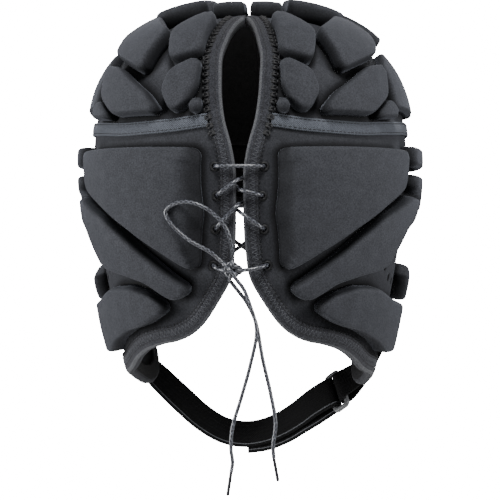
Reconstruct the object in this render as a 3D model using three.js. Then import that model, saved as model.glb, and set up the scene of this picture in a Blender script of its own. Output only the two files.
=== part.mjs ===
// A rugby scrum cap: a soft head guard of foam blocks on a laminated cloth shell, laced at the back and
// held by a chin strap. Millimetres, +Z up. The wearer faces -Y and the wearer's left is +X.
// The origin is the top of the head hollow, where the cap sits on the head.
import * as THREE from 'three';

// Head hollow
const hollowHalfWidth = 82;
const hollowBack = 98;
const hollowFront = 100;
const crownHeight = 80;
const jawDrop = 118;
const jawTaper = 0.26;
const planSquareness = 2.2;
const domeSquareness = 2.2;
const crownSquareness = 2.6;
const taperPower = 1.5;

// Cloth shell, edge binding and seam ribbon
const shellThickness = 2.6;
const fitGap = 0.75;
const seamGap = 0.5;
const bindingThickness = 0.8;
const bindingLeg = 5.4;
const ribbonWidth = 6.5;
const ribbonThickness = 0.8;

// Foam blocks
const crownPadHeight = 7.6;
const crownSideHeight = 4.8;
const crownTopHeight = 9.8;
const sidePadHeight = 8.2;
const padDraft = 1.4;
const crownCornerRadius = 3;
const sideCornerRadius = 4;

// Back slit and its lacing
const laceDiameter = 2;
const eyeletDiameter = 3.5;
const ventDiameter = 3.6;

// Free lace ends
const knotLength = 11;
const knotHeight = 9;
const knotDepth = 8;
const tipDiameter = 1.7;

// Chin strap
const strapWidth = 19;
const strapThickness = 1.8;
const strapLift = 5.4;
const tailDrop = 3;
const ringLength = 26;
const ringWidth = 11;
const ringBar = 2.4;
const ringThickness = 2.6;
const tabThickness = 1.4;
const foldRadius = 3;

// Mesh fineness
const panelEdge = 23;
const padEdge = 17;
const laceSides = 8;

const degrees = THREE.MathUtils.degToRad;
const centre = new THREE.Vector3(0, 0, -crownHeight);
const skinOut = shellThickness + fitGap;

// Places on the cap are two angles seen from the middle of the head: around is 0 at the middle of the back,
// 90 at the left ear and 180 at the brow, and tilt is 0 at the crown, 90 at the widest level.
function direction(around, tilt) {
  return new THREE.Vector3().setFromSphericalCoords(1, degrees(tilt), degrees(around)).applyAxisAngle(
    new THREE.Vector3(1, 0, 0), Math.PI / 2).multiply(new THREE.Vector3(1, -1, 1));
}

// How far the hollow's wall is from the middle of the head.
function hollowRadius(d) {
  const length = d.y > 0 ? hollowBack : hollowFront;
  const plan = (Math.abs(d.x) / hollowHalfWidth) ** planSquareness + (Math.abs(d.y) / length) ** planSquareness;
  const level = plan ** (1 / planSquareness);
  if (d.z >= 0) {
    return (level ** crownSquareness + (d.z / crownHeight) ** crownSquareness) ** (-1 / crownSquareness);
  }
  let low = 0;
  let high = 1 / level;
  for (let step = 0; step < 40; step++) {
    const r = (low + high) / 2;
    const inside = r * level < 1 - jawTaper * (r * -d.z / jawDrop) ** taperPower;
    if (inside) low = r;
    else high = r;
  }
  return low;
}

function hollowPoint(d) {
  return d.clone().multiplyScalar(hollowRadius(d)).add(centre);
}

// A point at a distance outside the hollow's wall, and the way out of the wall there.
function outward(d) {
  const step = 0.004;
  const east = new THREE.Vector3(0, 0, 1).cross(d);
  if (east.lengthSq() < 1e-8) return new THREE.Vector3(0, 0, 1);
  east.normalize();
  const north = d.clone().cross(east);
  const along = (axis) => hollowPoint(d.clone().addScaledVector(axis, step).normalize())
    .sub(hollowPoint(d.clone().addScaledVector(axis, -step).normalize()));
  return along(east).cross(along(north)).normalize();
}

function skin(d, offset) {
  return hollowPoint(d).addScaledVector(outward(d), offset);
}

// The left half of the cap is drawn on a flat chart, a stereographic one round the ear, so that angles stay true.
const chartSize = 2 * (hollowHalfWidth + hollowBack) / 2;

function toChart(d) {
  return new THREE.Vector2(d.y, d.z).multiplyScalar(chartSize / (1 + d.x));
}

function fromChart(p) {
  const y = p.x / chartSize;
  const z = p.y / chartSize;
  const square = y * y + z * z;
  return new THREE.Vector3(1 - square, 2 * y, 2 * z).divideScalar(1 + square);
}

const chartAt = ([around, tilt]) => toChart(direction(around, tilt));

// Chart length of one millimetre on the cap.
function stretch(p) {
  const reach = hollowRadius(fromChart(p));
  return (1 + p.lengthSq() / chartSize ** 2) * chartSize / (2 * reach);
}

// Normals of a chart line, to its left. A closed line takes its neighbours across its ends.
function lineNormals(points, closed) {
  const last = points.length - 1;
  return points.map((p, i) => {
    const before = points[closed ? (i + last) % points.length : Math.max(i - 1, 0)];
    const after = points[closed ? (i + 1) % points.length : Math.min(i + 1, last)];
    const way = after.clone().sub(before).normalize();
    return new THREE.Vector2(-way.y, way.x);
  });
}

function shifted(points, distance, closed) {
  const normals = lineNormals(points, closed);
  return points.map((p, i) => p.clone().addScaledVector(normals[i], distance * stretch(p)));
}

function circle(radius, sides) {
  const turn = (i) => new THREE.Vector2(radius, 0).rotateAround(new THREE.Vector2(), 2 * Math.PI * i / sides);
  return Array.from({ length: sides }, (_, i) => turn(i));
}

function smoothLine(points, count) {
  return new THREE.SplineCurve(points).getSpacedPoints(count);
}

// A closed outline through chart corners, each corner rounded.
function roundedOutline(corners, radius, divisions) {
  const path = new THREE.Path();
  const count = corners.length;
  corners.forEach((corner, i) => {
    const ends = [corners[(i + count - 1) % count], corners[(i + 1) % count]].map((other) => {
      const reach = Math.min(radius * stretch(corner), corner.distanceTo(other) * 0.45);
      return corner.clone().lerp(other, reach / corner.distanceTo(other));
    });
    if (i) path.lineTo(ends[0].x, ends[0].y);
    else path.moveTo(ends[0].x, ends[0].y);
    path.quadraticCurveTo(corner.x, corner.y, ends[1].x, ends[1].y);
  });
  const points = path.getPoints(divisions);
  if (THREE.ShapeUtils.isClockWise(points)) points.reverse();
  return points;
}

const edgeKey = (a, b) => Math.min(a, b) + ' ' + Math.max(a, b);

// Whether the corners c and d, on the two sides of the edge from a to b, open wider than a half turn together.
function opensWide(a, b, c, d) {
  const [ca, cb, da, db] = [a.clone().sub(c), b.clone().sub(c), a.clone().sub(d), b.clone().sub(d)];
  return ca.dot(cb) * db.cross(da) + ca.cross(cb) * da.dot(db) < -1e-6;
}

// Turns inner edges until the triangles are as even as their corners allow.
function evenOut(points, faces) {
  for (let turned = true; turned;) {
    turned = false;
    const edges = new Map();
    faces.forEach(([a, b, c], f) => {
      [[a, b, c], [b, c, a], [c, a, b]].forEach(([p, q, r]) => edges.set(p + ' ' + q, [f, p, q, r]));
    });
    const done = new Set();
    for (const [f, a, b, c] of edges.values()) {
      const [g, , , d] = edges.get(b + ' ' + a) ?? [];
      if (a > b || g === undefined || done.has(f) || done.has(g)) continue;
      if (!opensWide(points[a], points[b], points[c], points[d])) continue;
      faces[f] = [a, d, c];
      faces[g] = [d, b, c];
      done.add(f).add(g);
      turned = true;
    }
  }
  return faces;
}

// Splits edges at their middles, the longest first, until none is longer on the cap than the limit.
function refine(points, faces, limit) {
  const places = points.map((p) => hollowPoint(fromChart(p)));
  let current = evenOut(points, faces);
  for (;;) {
    const edges = new Map();
    for (const face of current) {
      face.forEach((a, k) => {
        const b = face[(k + 1) % 3];
        edges.set(edgeKey(a, b), { a, b, length: places[a].distanceTo(places[b]) });
      });
    }
    const longest = Math.max(...[...edges.values()].map((edge) => edge.length));
    if (longest <= limit) return current;
    const middles = new Map();
    for (const [key, { a, b, length }] of edges) {
      if (length < Math.max(limit, longest * 0.85)) continue;
      middles.set(key, points.length);
      points.push(points[a].clone().lerp(points[b], 0.5));
      places.push(hollowPoint(fromChart(points[points.length - 1])));
    }
    current = evenOut(points, current.flatMap((face) => splitFace(face, middles, places)));
  }
}

function splitFace([a, b, c], middles, places) {
  const middle = (p, q) => middles.get(edgeKey(p, q));
  const mids = [middle(a, b), middle(b, c), middle(c, a)];
  const cut = mids.filter((m) => m !== undefined).length;
  if (!cut) return [[a, b, c]];
  const [ab, bc, ca] = mids;
  if (cut === 3) return [[a, ab, ca], [ab, b, bc], [ca, bc, c], [ab, bc, ca]];
  // Turned so that the first edge is cut and, of two cut edges, the other is the next one.
  if (ab === undefined || (cut === 2 && bc === undefined)) return splitFace([b, c, a], middles, places);
  if (cut === 1) return [[a, ab, c], [ab, b, c]];
  const short = places[a].distanceTo(places[bc]) < places[ab].distanceTo(places[c]);
  return short ? [[ab, b, bc], [a, ab, bc], [a, bc, c]] : [[ab, b, bc], [a, ab, c], [ab, bc, c]];
}

function meshGeometry(vertices, faces) {
  const geometry = new THREE.BufferGeometry();
  geometry.setAttribute('position', new THREE.Float32BufferAttribute(vertices.flatMap((v) => v.toArray()), 3));
  geometry.setIndex(faces.flat());
  return geometry;
}

// A solid over a chart outline, between two distances from the hollow's wall. Its top is drawn in by the draft.
function slab(outline, holes, low, high, edgeLimit, draft = 0) {
  const points = [...outline, ...holes.flat()].map((p) => p.clone());
  const faces = refine(points, THREE.ShapeUtils.triangulateShape(outline, holes), edgeLimit);
  const count = points.length;
  const half = new Set(faces.flatMap(([a, b, c]) => [a + ' ' + b, b + ' ' + c, c + ' ' + a]));
  const rim = faces.flatMap(([a, b, c]) => [[a, b], [b, c], [c, a]]).filter(([a, b]) => !half.has(b + ' ' + a));
  const before = new Map(rim.map(([a, b]) => [b, a]));
  const after = new Map(rim);
  const tops = points.map((p, i) => {
    if (!draft || !after.has(i)) return p;
    const way = points[after.get(i)].clone().sub(points[before.get(i)]).normalize();
    return p.clone().add(new THREE.Vector2(-way.y, way.x).multiplyScalar(draft * stretch(p)));
  });
  const vertices = [...points.map((p) => skin(fromChart(p), low)), ...tops.map((p) => skin(fromChart(p), high))];
  const caps = faces.flatMap(([a, b, c]) => [[a, c, b], [a + count, b + count, c + count]]);
  const walls = rim.flatMap(([a, b]) => [[a, b, b + count], [a, b + count, a + count]]);
  return meshGeometry(vertices, [...caps, ...walls]);
}

// A solid through rows of section points. The profile gives the end caps' triangles.
function loft(sections, profile) {
  const size = profile.length;
  const faces = [];
  for (let i = 0; i < sections.length - 1; i++) {
    for (let k = 0; k < size; k++) {
      const [a, b] = [i * size + k, i * size + (k + 1) % size];
      faces.push([a, b + size, a + size], [a, b, b + size]);
    }
  }
  const cap = THREE.ShapeUtils.triangulateShape(profile, []);
  const far = (sections.length - 1) * size;
  cap.forEach(([a, b, c]) => faces.push([a, c, b], [a + far, b + far, c + far]));
  return meshGeometry(sections.flat(), faces);
}

// A tape that follows a chart line: its profile is given as distance to the left of the line and from the wall.
function tape(line, profile) {
  const normals = lineNormals(line, false);
  const sections = line.map((p, i) => profile.map((q) => {
    const place = p.clone().addScaledVector(normals[i], q.x * stretch(p));
    return skin(fromChart(place), q.y);
  }));
  return loft(sections, profile);
}

function rectangle(left, right, low, high) {
  return [[left, low], [right, low], [right, high], [left, high]].map(([x, y]) => new THREE.Vector2(x, y));
}

function mirrored(geometry) {
  const copy = geometry.clone().applyMatrix4(new THREE.Matrix4().makeScale(-1, 1, 1));
  const index = Array.from(copy.index.array);
  for (let i = 0; i < index.length; i += 3) [index[i + 1], index[i + 2]] = [index[i + 2], index[i + 1]];
  copy.setIndex(index);
  return copy;
}

// Edges. The slit table gives half the open width between the two bindings, in millimetres.
const slitRows = [
  { tilt: 35, half: 1.9 },
  { tilt: 43, half: 5 },
  { tilt: 50.6, half: 7.5 },
  { tilt: 57, half: 9.4 },
  { tilt: 64, half: 9.4 },
  { tilt: 71, half: 8.9 },
  { tilt: 77.3, half: 7.4 },
  { tilt: 83.5, half: 4.5 },
  { tilt: 88, half: 2.9 },
  { tilt: 92.5, half: 1.9 },
  { tilt: 100.5, half: 1.8 },
  { tilt: 109, half: 2 },
  { tilt: 116, half: 2.9 },
];
const bindingReach = bindingThickness + fitGap;

// The place on the back, on the left, that lies a given distance to the left of the middle.
function backPlace(side, tilt) {
  let around = 0;
  for (let step = 0; step < 6; step++) {
    const level = hollowRadius(direction(around, tilt)) * Math.sin(degrees(tilt));
    around = THREE.MathUtils.radToDeg(Math.asin(side / level));
  }
  return [around, tilt];
}

// The direction in which the back's skin, at a distance outside the hollow, has a given x and z.
function backDirection(x, z, offset) {
  const d = new THREE.Vector3(x, hollowBack, z + crownHeight).normalize();
  for (let step = 0; step < 12; step++) {
    const p = skin(d, offset);
    d.add(new THREE.Vector3(x - p.x, 0, z - p.z).divideScalar(p.distanceTo(centre))).normalize();
  }
  return d;
}

function onBack([x, z, offset]) {
  return skin(backDirection(x, z, offset), offset);
}

// The rim starts in a small arch at the slit's top, runs down the slit, under the nape, round the jaw flap,
// up the face edge and along the brow.
const archRows = [[0.5, 31], [1.6, 31.15], [2.7, 32.5]].map(([side, tilt]) => backPlace(side, tilt));
const slitEdge = slitRows.map(({ tilt, half }) => backPlace(half + bindingReach, tilt));
const napeRows = [[4, 122], [8.4, 128], [14, 133.2], [21, 136.3], [29, 137.8], [38, 139.8], [47, 142.6], [58, 146]];
const flapRows = [[74, 148.4], [90, 149.8], [104, 150.6], [115, 150.6], [124.4, 148.6], [127, 144]];
const faceRows = [
  [123.4, 139.6], [118.6, 133], [115.5, 123], [117, 113], [122.5, 105.5], [133, 100.6], [148, 99.2], [164, 99],
  [179.8, 99],
];
const edgeRim = new THREE.SplineCurve([...slitEdge, ...napeRows, ...flapRows, ...faceRows].map(chartAt));
const rimPoints = [...archRows.map(chartAt), ...edgeRim.getSpacedPoints(48)];

// The seam between the crown and the sides.
const seamSlitTilt = 77.4;
const seamRows = [
  [20, 78.6], [36, 78.8], [52, 77.4], [72, 75.6], [92, 75], [112, 75.4], [135, 77], [158, 78.4], [179.8, 79],
];
const seamStart = backPlace(7.4 + bindingReach, seamSlitTilt);
const seamPoints = smoothLine([seamStart, ...seamRows].map(chartAt), 18);
const ribbonStart = backPlace(7.4 + bindingReach + bindingLeg + 1, seamSlitTilt);
const ribbonPoints = smoothLine([ribbonStart, ...seamRows].map(chartAt), 18);

const tiltOf = (p) => THREE.MathUtils.radToDeg(Math.acos(fromChart(p).z));
const isSlit = (i) => i < rimPoints.length / 2;
const upperRim = rimPoints.filter((p, i) => isSlit(i) && tiltOf(p) < seamSlitTilt - 1);
const lowerRim = rimPoints.filter((p, i) => !isSlit(i) || tiltOf(p) > seamSlitTilt + 1);

// The middle line over the crown, from the brow back to the slit, and the middle of the brow.
const ridge = [
  ...[71, 63, 54, 45, 36, 27, 18, 9].map((tilt) => [180, tilt]),
  ...[0, 9, 18, 26].map((tilt) => [0, tilt]),
].map(chartAt);
const browMiddle = [84, 89, 94].map((tilt) => chartAt([180, tilt]));

function anticlockwise(points) {
  return THREE.ShapeUtils.isClockWise(points) ? points.slice().reverse() : points;
}

const crownOutline = shifted(anticlockwise([...upperRim, ...seamPoints, ...ridge]), seamGap / 2, true);
const sideLoop = [...lowerRim, ...browMiddle.slice().reverse(), ...seamPoints.slice().reverse()];
const sideOutline = shifted(anticlockwise(sideLoop), seamGap / 2, true);

// Round holes through the side panel: lacing eyelets beside the slit and vents round the ear.
function roundHole(d, diameter, sides) {
  const middle = toChart(d);
  return circle(diameter / 2 * stretch(middle), sides).map((p) => p.add(middle)).reverse();
}

const eyeletRows = [
  { x: 12.2, z: -81 },
  { x: 11.2, z: -95.5 },
  { x: 12, z: -112 },
  { x: 13.5, z: -130 },
];
const ventRows = [
  [61, 122.4], [68, 126], [76, 127.6],
  [74, 119.4], [83, 121], [92, 121.4],
  [80, 113], [90, 113.6], [100, 115.4],
];
const sideHoles = [
  ...eyeletRows.map(({ x, z }) => roundHole(backDirection(x, z, 1.3), eyeletDiameter, 8)),
  ...ventRows.map((place) => roundHole(direction(...place), ventDiameter, 6)),
];

// Foam blocks, by the corners of their tops on the left half.
const crownPads = [
  { name: 'crown_pad_ridge_back', corners: [[3.8, 24.4], [26, 26], [40, 16.5], [10.4, 7.4]] },
  { name: 'crown_pad_top_back', height: crownTopHeight, corners: [[35, 25.8], [60, 34], [79, 32.5], [66, 13]] },
  { name: 'crown_pad_upper_back', corners: [[30, 48.5], [53, 36.5], [68, 36], [73, 42.5], [55, 53.3], [32.5, 62]] },
  { name: 'crown_pad_slit_upper', corners: [[13, 41.8], [16.8, 38.6], [26.8, 49.2], [22, 60], [13.2, 57.8]] },
  { name: 'crown_pad_slit_lower', corners: [[12.9, 60.6], [20.6, 64], [22.2, 69.6], [18.8, 75], [15.6, 73.4], [12.9, 68]] },
  { name: 'crown_pad_slit_foot', corners: [[11.6, 71.4], [14, 74.8], [11.2, 75]] },
  { name: 'crown_pad_lower_back', corners: [[23.5, 75], [29, 69.6], [44, 60.8], [54, 58.6], [49, 68.6], [40, 74.4]] },
  { name: 'crown_pad_corner', corners: [[43.4, 75], [51, 69.6], [55.6, 73.6]] },
  { name: 'crown_pad_side_back', height: crownSideHeight, corners: [
    [60, 57.5], [77, 49.4], [92, 50.4], [89, 69.5], [58.5, 70],
  ] },
  { name: 'crown_pad_ridge_front', corners: [[170, 11], [143, 18], [153, 36], [176, 35]] },
  { name: 'crown_pad_top_front', height: crownTopHeight, corners: [
    [137, 20], [98, 17.4], [85, 33], [84, 45], [127, 46], [147, 37.5],
  ] },
  { name: 'crown_pad_side_front', height: crownSideHeight, corners: [
    [98, 51], [126, 51.5], [130, 69.6], [94.5, 70],
  ] },
  { name: 'crown_pad_brow_inner', corners: [[176.2, 41], [156, 42.6], [153.5, 73], [176.6, 74]] },
  { name: 'crown_pad_brow_outer', corners: [[150.5, 44.5], [132, 51], [136, 71], [148.5, 72.6]] },
];
const sidePads = [
  { name: 'side_pad_nape', corners: [
    [11.4, 86], [59, 84.8], [57, 96], [46, 101.4], [34, 107.8], [23, 114], [15, 118.4], [12.8, 118.6], [11, 104],
  ] },
  { name: 'side_pad_sweep', corners: [
    [66, 99.8], [80, 100.6], [72, 107], [63, 109.6], [55.5, 116], [50, 120.4], [38, 121.4], [29, 122.8], [20, 127],
    [15.4, 124.6], [27, 118], [36.5, 112], [47, 105.8],
  ] },
  { name: 'side_pad_jaw', corners: [
    [24, 129.6], [29, 126.9], [37.5, 125.6], [48, 126.8], [60, 131], [80, 134], [86, 144.4], [68, 143.4], [54, 139.2],
    [42, 135.6], [32, 133.2],
  ] },
  { name: 'side_pad_temple_upper', corners: [[66, 83], [112, 83.5], [114, 88.6], [67, 88.4]] },
  { name: 'side_pad_temple_lower', corners: [[69.5, 92.4], [111, 92.6], [106, 103], [93, 103.6], [85, 98.2], [70, 96.2]] },
  { name: 'side_pad_cheek', corners: [[86, 127.2], [106, 122.4], [110, 131.2], [92, 132.6]] },
  { name: 'side_pad_brow', corners: [[122, 84.6], [176.6, 85.6], [176.6, 92.6], [131, 93], [123, 91.4]] },
];

// Where the lace goes through an eyelet, or at x 0 through the gap between the bindings, and how far outside
// the hollow it lies on its way to the next place.
const laceStops = [
  { x: 13.5, z: -130, next: -5 },
  { x: -12, z: -112, next: 7 },
  { x: 0, z: -103.6, next: -5 },
  { x: 11.2, z: -95.5, next: 7 },
  { x: 0, z: -87.2, next: -5 },
  { x: -12.2, z: -81, next: 6.8 },
  { x: 12.2, z: -81, next: -5 },
  { x: 0, z: -92.6, next: 7 },
  { x: -11.2, z: -95.5, next: -5 },
  { x: 0, z: -99.4, next: 7 },
  { x: 12, z: -112, next: -7.8 },
  { x: -13.5, z: -130, next: 0 },
];
const laceStart = [[9.6, -132.3, 8.5], [12.2, -131.2, 7.2], [13.3, -130.3, 4.4]];
const laceFinish = [[-12.9, -130.3, 4.8], [-10, -131.2, 7.4], [-6, -132.2, 8.4], [-2.9, -132.5, 8.5]];
const laceRoute = [...laceStart, ...laceStops.flatMap(laceRun), ...laceFinish];

// A place the lace goes through, and four points on the way from it to the next.
function laceRun({ x, z, next }, i) {
  const stop = [x, z, shellThickness / 2];
  if (!next) return [stop];
  const other = laceStops[i + 1];
  const length = Math.hypot(other.x - x, other.z - z);
  const near = next > 0 ? 5.2 : -3;
  const along = [[0.9, near], [3.6, next], [length - 3.6, next], [length - 0.9, near]];
  const points = along.map(([d, level]) => [x + (other.x - x) * d / length, z + (other.z - z) * d / length, level]);
  return [stop, ...points];
}

// The knot and what hangs from it, as places in space.
const knotPlace = [3.4, -132.5, 8.6];
const loopRoute = [
  [8.2, -129, 9.6], [14.3, -123.6, 12.4], [24.8, -117.6, 13.5], [34.6, -108.6, 13.5], [36.6, -103.6, 13.5],
  [33, -100.2, 13.5], [27, -98.8, 13.5], [19.3, -100.3, 13.5], [11.8, -105.2, 13], [6.4, -111.7, 12],
  [3.9, -119.6, 10.4], [3.3, -127.4, 9],
];
const endLeftRoute = [
  [1.6, 99.6, -137.2], [-1.8, 100.4, -141.4], [-4.8, 100.8, -148.4], [-8.5, 100.4, -162.1], [-5.5, 100, -179.4],
  [-1, 100, -195.7], [3.6, 100, -211.6], [4.2, 100, -221.5], [3.4, 100, -228], [4.2, 100, -233.6],
];
const endRightRoute = [
  [5.2, 97.8, -137.5], [1.6, 97.2, -142], [-3.4, 97, -148.6], [-7.8, 97, -158], [-11.4, 97, -176.9],
  [-15.4, 97, -194.2], [-17.8, 97, -209], [-16.6, 97, -220], [-17, 97, -226.6],
];
const tipLeft = [[4.35, 100, -234.3], [5.9, 100, -244.7]];
const tipRight = [[-17.1, 97, -227.3], [-19.1, 97, -237.8]];

// The strap is sewn to the outside of the left flap, then hangs under the chin. Its width runs along across,
// from its lower edge at the back to its upper edge at the front.
const strapOnFlap = [[98, 137], [107, 139.8], [115, 142.6], [121.5, 145], [127, 147.4]];
const strapHang = [
  { at: [52, -47.4, -198.4], across: [-0.2, -0.7, 0.68] },
  { at: [42, -52.4, -208.6], across: [-0.26, -0.69, 0.66] },
  { at: [31.4, -56.6, -218.6], across: [-0.2, -0.7, 0.68] },
  { at: [19, -60.6, -226.4], across: [-0.1, -0.71, 0.69] },
  { at: [7, -62, -228.7], across: [0, -0.71, 0.7] },
  { at: [-4, -61, -227], across: [0.1, -0.71, 0.69] },
  { at: [-14.4, -58.6, -222.6], across: [0.2, -0.7, 0.68] },
  { at: [-24, -55.4, -216.4], across: [0.3, -0.69, 0.65] },
  { at: [-32.6, -51.6, -209.6], across: [0.35, -0.68, 0.63] },
];
const ringPlace = { at: [-46.2, -48, -202.9], run: [-0.74, 0.35, 0.57], across: [0.37, -0.68, 0.62] };
const tabOnFlap = [[107, 139.8], [115, 142.6], [121.5, 145], [128, 147.8]];

// Materials
const cloth = new THREE.MeshStandardMaterial({ color: 0x35373b, roughness: 0.95, metalness: 0 });
const padCloth = new THREE.MeshStandardMaterial({ color: 0x44474b, roughness: 0.92, metalness: 0 });
const ribbonCloth = new THREE.MeshStandardMaterial({ color: 0x5a6069, roughness: 0.8, metalness: 0 });
const bindingCloth = new THREE.MeshStandardMaterial({ color: 0x3d4046, roughness: 0.85, metalness: 0 });
const webbing = new THREE.MeshStandardMaterial({ color: 0x0c0c0d, roughness: 0.7, metalness: 0 });
const braid = new THREE.MeshStandardMaterial({ color: 0x4b4e58, roughness: 0.6, metalness: 0 });
const tipPlastic = new THREE.MeshStandardMaterial({ color: 0x2b2d30, roughness: 0.4, metalness: 0 });
const ringPlastic = new THREE.MeshStandardMaterial({ color: 0x6b6d70, roughness: 0.5, metalness: 0 });

const cap = new THREE.Group();

function addPiece(name, geometry, material) {
  const mesh = new THREE.Mesh(geometry, material);
  mesh.name = name;
  cap.add(mesh);
  return mesh;
}

function addPair(name, geometry, material) {
  addPiece(name + '_left', geometry, material);
  addPiece(name + '_right', mirrored(geometry), material);
}

// Cloth shell panels
addPair('crown_panel', slab(crownOutline, [], 0, shellThickness, panelEdge), cloth);
addPair('side_panel', slab(sideOutline, sideHoles, 0, shellThickness, panelEdge), cloth);

// The binding folds over the rim: a leg inside, a web past the edge and a leg outside. The inner leg is laid
// loosely, innerLeg clear of the cloth.
const innerLeg = 1.1;
const bindingProfile = [
  [-bindingReach, -innerLeg - bindingThickness],
  [bindingLeg, -innerLeg - bindingThickness],
  [bindingLeg, -innerLeg],
  [-fitGap, -innerLeg],
  [-fitGap, skinOut],
  [bindingLeg, skinOut],
  [bindingLeg, skinOut + bindingThickness],
  [-bindingReach, skinOut + bindingThickness],
].map(([x, y]) => new THREE.Vector2(x, y));
addPair('edge_binding', tape(rimPoints.slice().reverse(), bindingProfile), bindingCloth);

// The ribbon covers the seam from the slit's binding to the middle of the brow.
const ribbonProfile = rectangle(-ribbonWidth / 2, ribbonWidth / 2, skinOut, skinOut + ribbonThickness);
addPair('seam_ribbon', tape(ribbonPoints, ribbonProfile), ribbonCloth);

// Foam blocks
function addPads(rows, usualHeight, cornerRadius) {
  for (const { name, corners, height = usualHeight } of rows) {
    const outline = shifted(roundedOutline(corners.map(chartAt), cornerRadius, 2), -padDraft, true);
    addPair(name, slab(outline, [], skinOut, skinOut + height, padEdge, padDraft), padCloth);
  }
}
addPads(crownPads, crownPadHeight, crownCornerRadius);
addPads(sidePads, sidePadHeight, sideCornerRadius);

// Lace
function vectors(rows) {
  return rows.map((row) => new THREE.Vector3(...row));
}

function cord(points, diameter, steps) {
  const section = new THREE.Shape(circle(diameter / 2, laceSides));
  const path = new THREE.CatmullRomCurve3(points);
  return new THREE.ExtrudeGeometry(section, { steps, extrudePath: path });
}

addPiece('lacing', cord(laceRoute.map(onBack), laceDiameter, 80), braid);
const knot = new THREE.SphereGeometry(1, 12, 8).scale(knotLength / 2, knotDepth / 2, knotHeight / 2);
knot.translate(...onBack(knotPlace));
addPiece('lace_knot', knot, braid);
addPiece('lace_loop', cord(loopRoute.map(onBack), laceDiameter, 24), braid);
addPiece('lace_end_left', cord(vectors(endLeftRoute), laceDiameter, 14), braid);
addPiece('lace_end_right', cord(vectors(endRightRoute), laceDiameter, 12), braid);
addPiece('lace_tip_left', cord(vectors(tipLeft), tipDiameter, 1), tipPlastic);
addPiece('lace_tip_right', cord(vectors(tipRight), tipDiameter, 1), tipPlastic);

// A band of webbing through stations, each with its place and the way its width runs.
function band(stations, width, thickness, divisions) {
  const line = new THREE.CatmullRomCurve3(stations.map((station) => station.at));
  const edge = new THREE.CatmullRomCurve3(stations.map((station) => station.across));
  const profile = rectangle(-width / 2, width / 2, -thickness / 2, thickness / 2);
  const sections = [];
  for (let i = 0; i <= divisions; i++) {
    const run = line.getTangent(i / divisions);
    const across = edge.getPoint(i / divisions).projectOnPlane(run).normalize();
    const up = run.clone().cross(across);
    const at = line.getPoint(i / divisions);
    sections.push(profile.map((q) => at.clone().addScaledVector(across, q.x).addScaledVector(up, q.y)));
  }
  return loft(sections, profile);
}

function onFlap(places, offset, side) {
  const mirror = new THREE.Vector3(side, 1, 1);
  const points = places.map((place) => skin(direction(...place), offset).multiply(mirror));
  return points.map((at, i) => {
    const run = points[Math.min(i + 1, points.length - 1)].clone().sub(points[Math.max(i - 1, 0)]);
    const out = outward(direction(...places[i])).multiply(mirror);
    return { at, across: run.cross(out).multiplyScalar(side).normalize() };
  });
}

// The half turn of a band round a bar, from its inner side past the given way to its outer side.
function roundBar(middle, way, out, radius, across) {
  return [-90, -45, 0, 45, 90].map((angle) => ({
    at: middle.clone().addScaledVector(way, radius * Math.cos(degrees(angle)))
      .addScaledVector(out, radius * Math.sin(degrees(angle))),
    across,
  }));
}

const ringAt = new THREE.Vector3(...ringPlace.at);
const ringRun = new THREE.Vector3(...ringPlace.run).normalize();
const ringAcross = new THREE.Vector3(...ringPlace.across).projectOnPlane(ringRun).normalize();
const ringOut = ringAcross.clone().cross(ringRun);
const barReach = (ringWidth - ringBar) / 2;
const lowerBar = ringAt.clone().addScaledVector(ringRun, -barReach);
const upperBar = ringAt.clone().addScaledVector(ringRun, barReach);

const hang = strapHang.map(({ at, across }) => ({ at: new THREE.Vector3(...at), across: new THREE.Vector3(...across) }));
const tail = hang.slice(4).reverse().map(({ at, across }, i) => {
  const run = ringRun.clone().projectOnPlane(across).normalize();
  const out = across.clone().cross(run).normalize();
  const lift = strapThickness + 0.8 + (i ? 0 : 1.6);
  return { at: at.clone().addScaledVector(out, lift).addScaledVector(across, -tailDrop), across };
});
const strapStations = [
  ...onFlap(strapOnFlap, strapLift, 1),
  ...hang,
  ...roundBar(lowerBar, ringRun, ringOut, foldRadius, ringAcross),
  ...tail,
];
addPiece('chin_strap', band(strapStations, strapWidth, strapThickness, 48), webbing);

const tabStations = [
  ...onFlap(tabOnFlap, strapLift, -1),
  ...roundBar(upperBar, ringRun.clone().negate(), ringOut, foldRadius, ringAcross),
  ...onFlap(tabOnFlap, strapLift + tabThickness + 0.6, -1).reverse(),
];
addPiece('strap_tab', band(tabStations, strapWidth - 1, tabThickness, 22), webbing);

function roundedRectangle(shape, width, height, radius) {
  const [x, y] = [width / 2, height / 2];
  shape.moveTo(-x + radius, -y);
  shape.lineTo(x - radius, -y);
  shape.absarc(x - radius, -y + radius, radius, -Math.PI / 2, 0);
  shape.absarc(x - radius, y - radius, radius, 0, Math.PI / 2);
  shape.absarc(-x + radius, y - radius, radius, Math.PI / 2, Math.PI);
  shape.absarc(-x + radius, -y + radius, radius, Math.PI, 1.5 * Math.PI);
  return shape;
}

const ringShape = roundedRectangle(new THREE.Shape(), ringLength, ringWidth, 3);
ringShape.holes.push(roundedRectangle(new THREE.Path(), ringLength - 2 * ringBar, ringWidth - 2 * ringBar, 1));
const ring = new THREE.ExtrudeGeometry(ringShape, { depth: ringThickness, bevelEnabled: false, curveSegments: 2 });
ring.translate(0, 0, -ringThickness / 2);
ring.applyMatrix4(new THREE.Matrix4().makeBasis(ringAcross, ringRun, ringOut).setPosition(ringAt));
addPiece('strap_ring', ring, ringPlastic);

export default cap;
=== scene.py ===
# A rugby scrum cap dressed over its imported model. Shapes are worked out in millimetres and stored in metres.
# The wearer faces -Y and the wearer's left is +X. The origin is the top of the head hollow.
import math

import bpy
import numpy as np
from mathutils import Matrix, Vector
from mathutils.geometry import delaunay_2d_cdt


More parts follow.
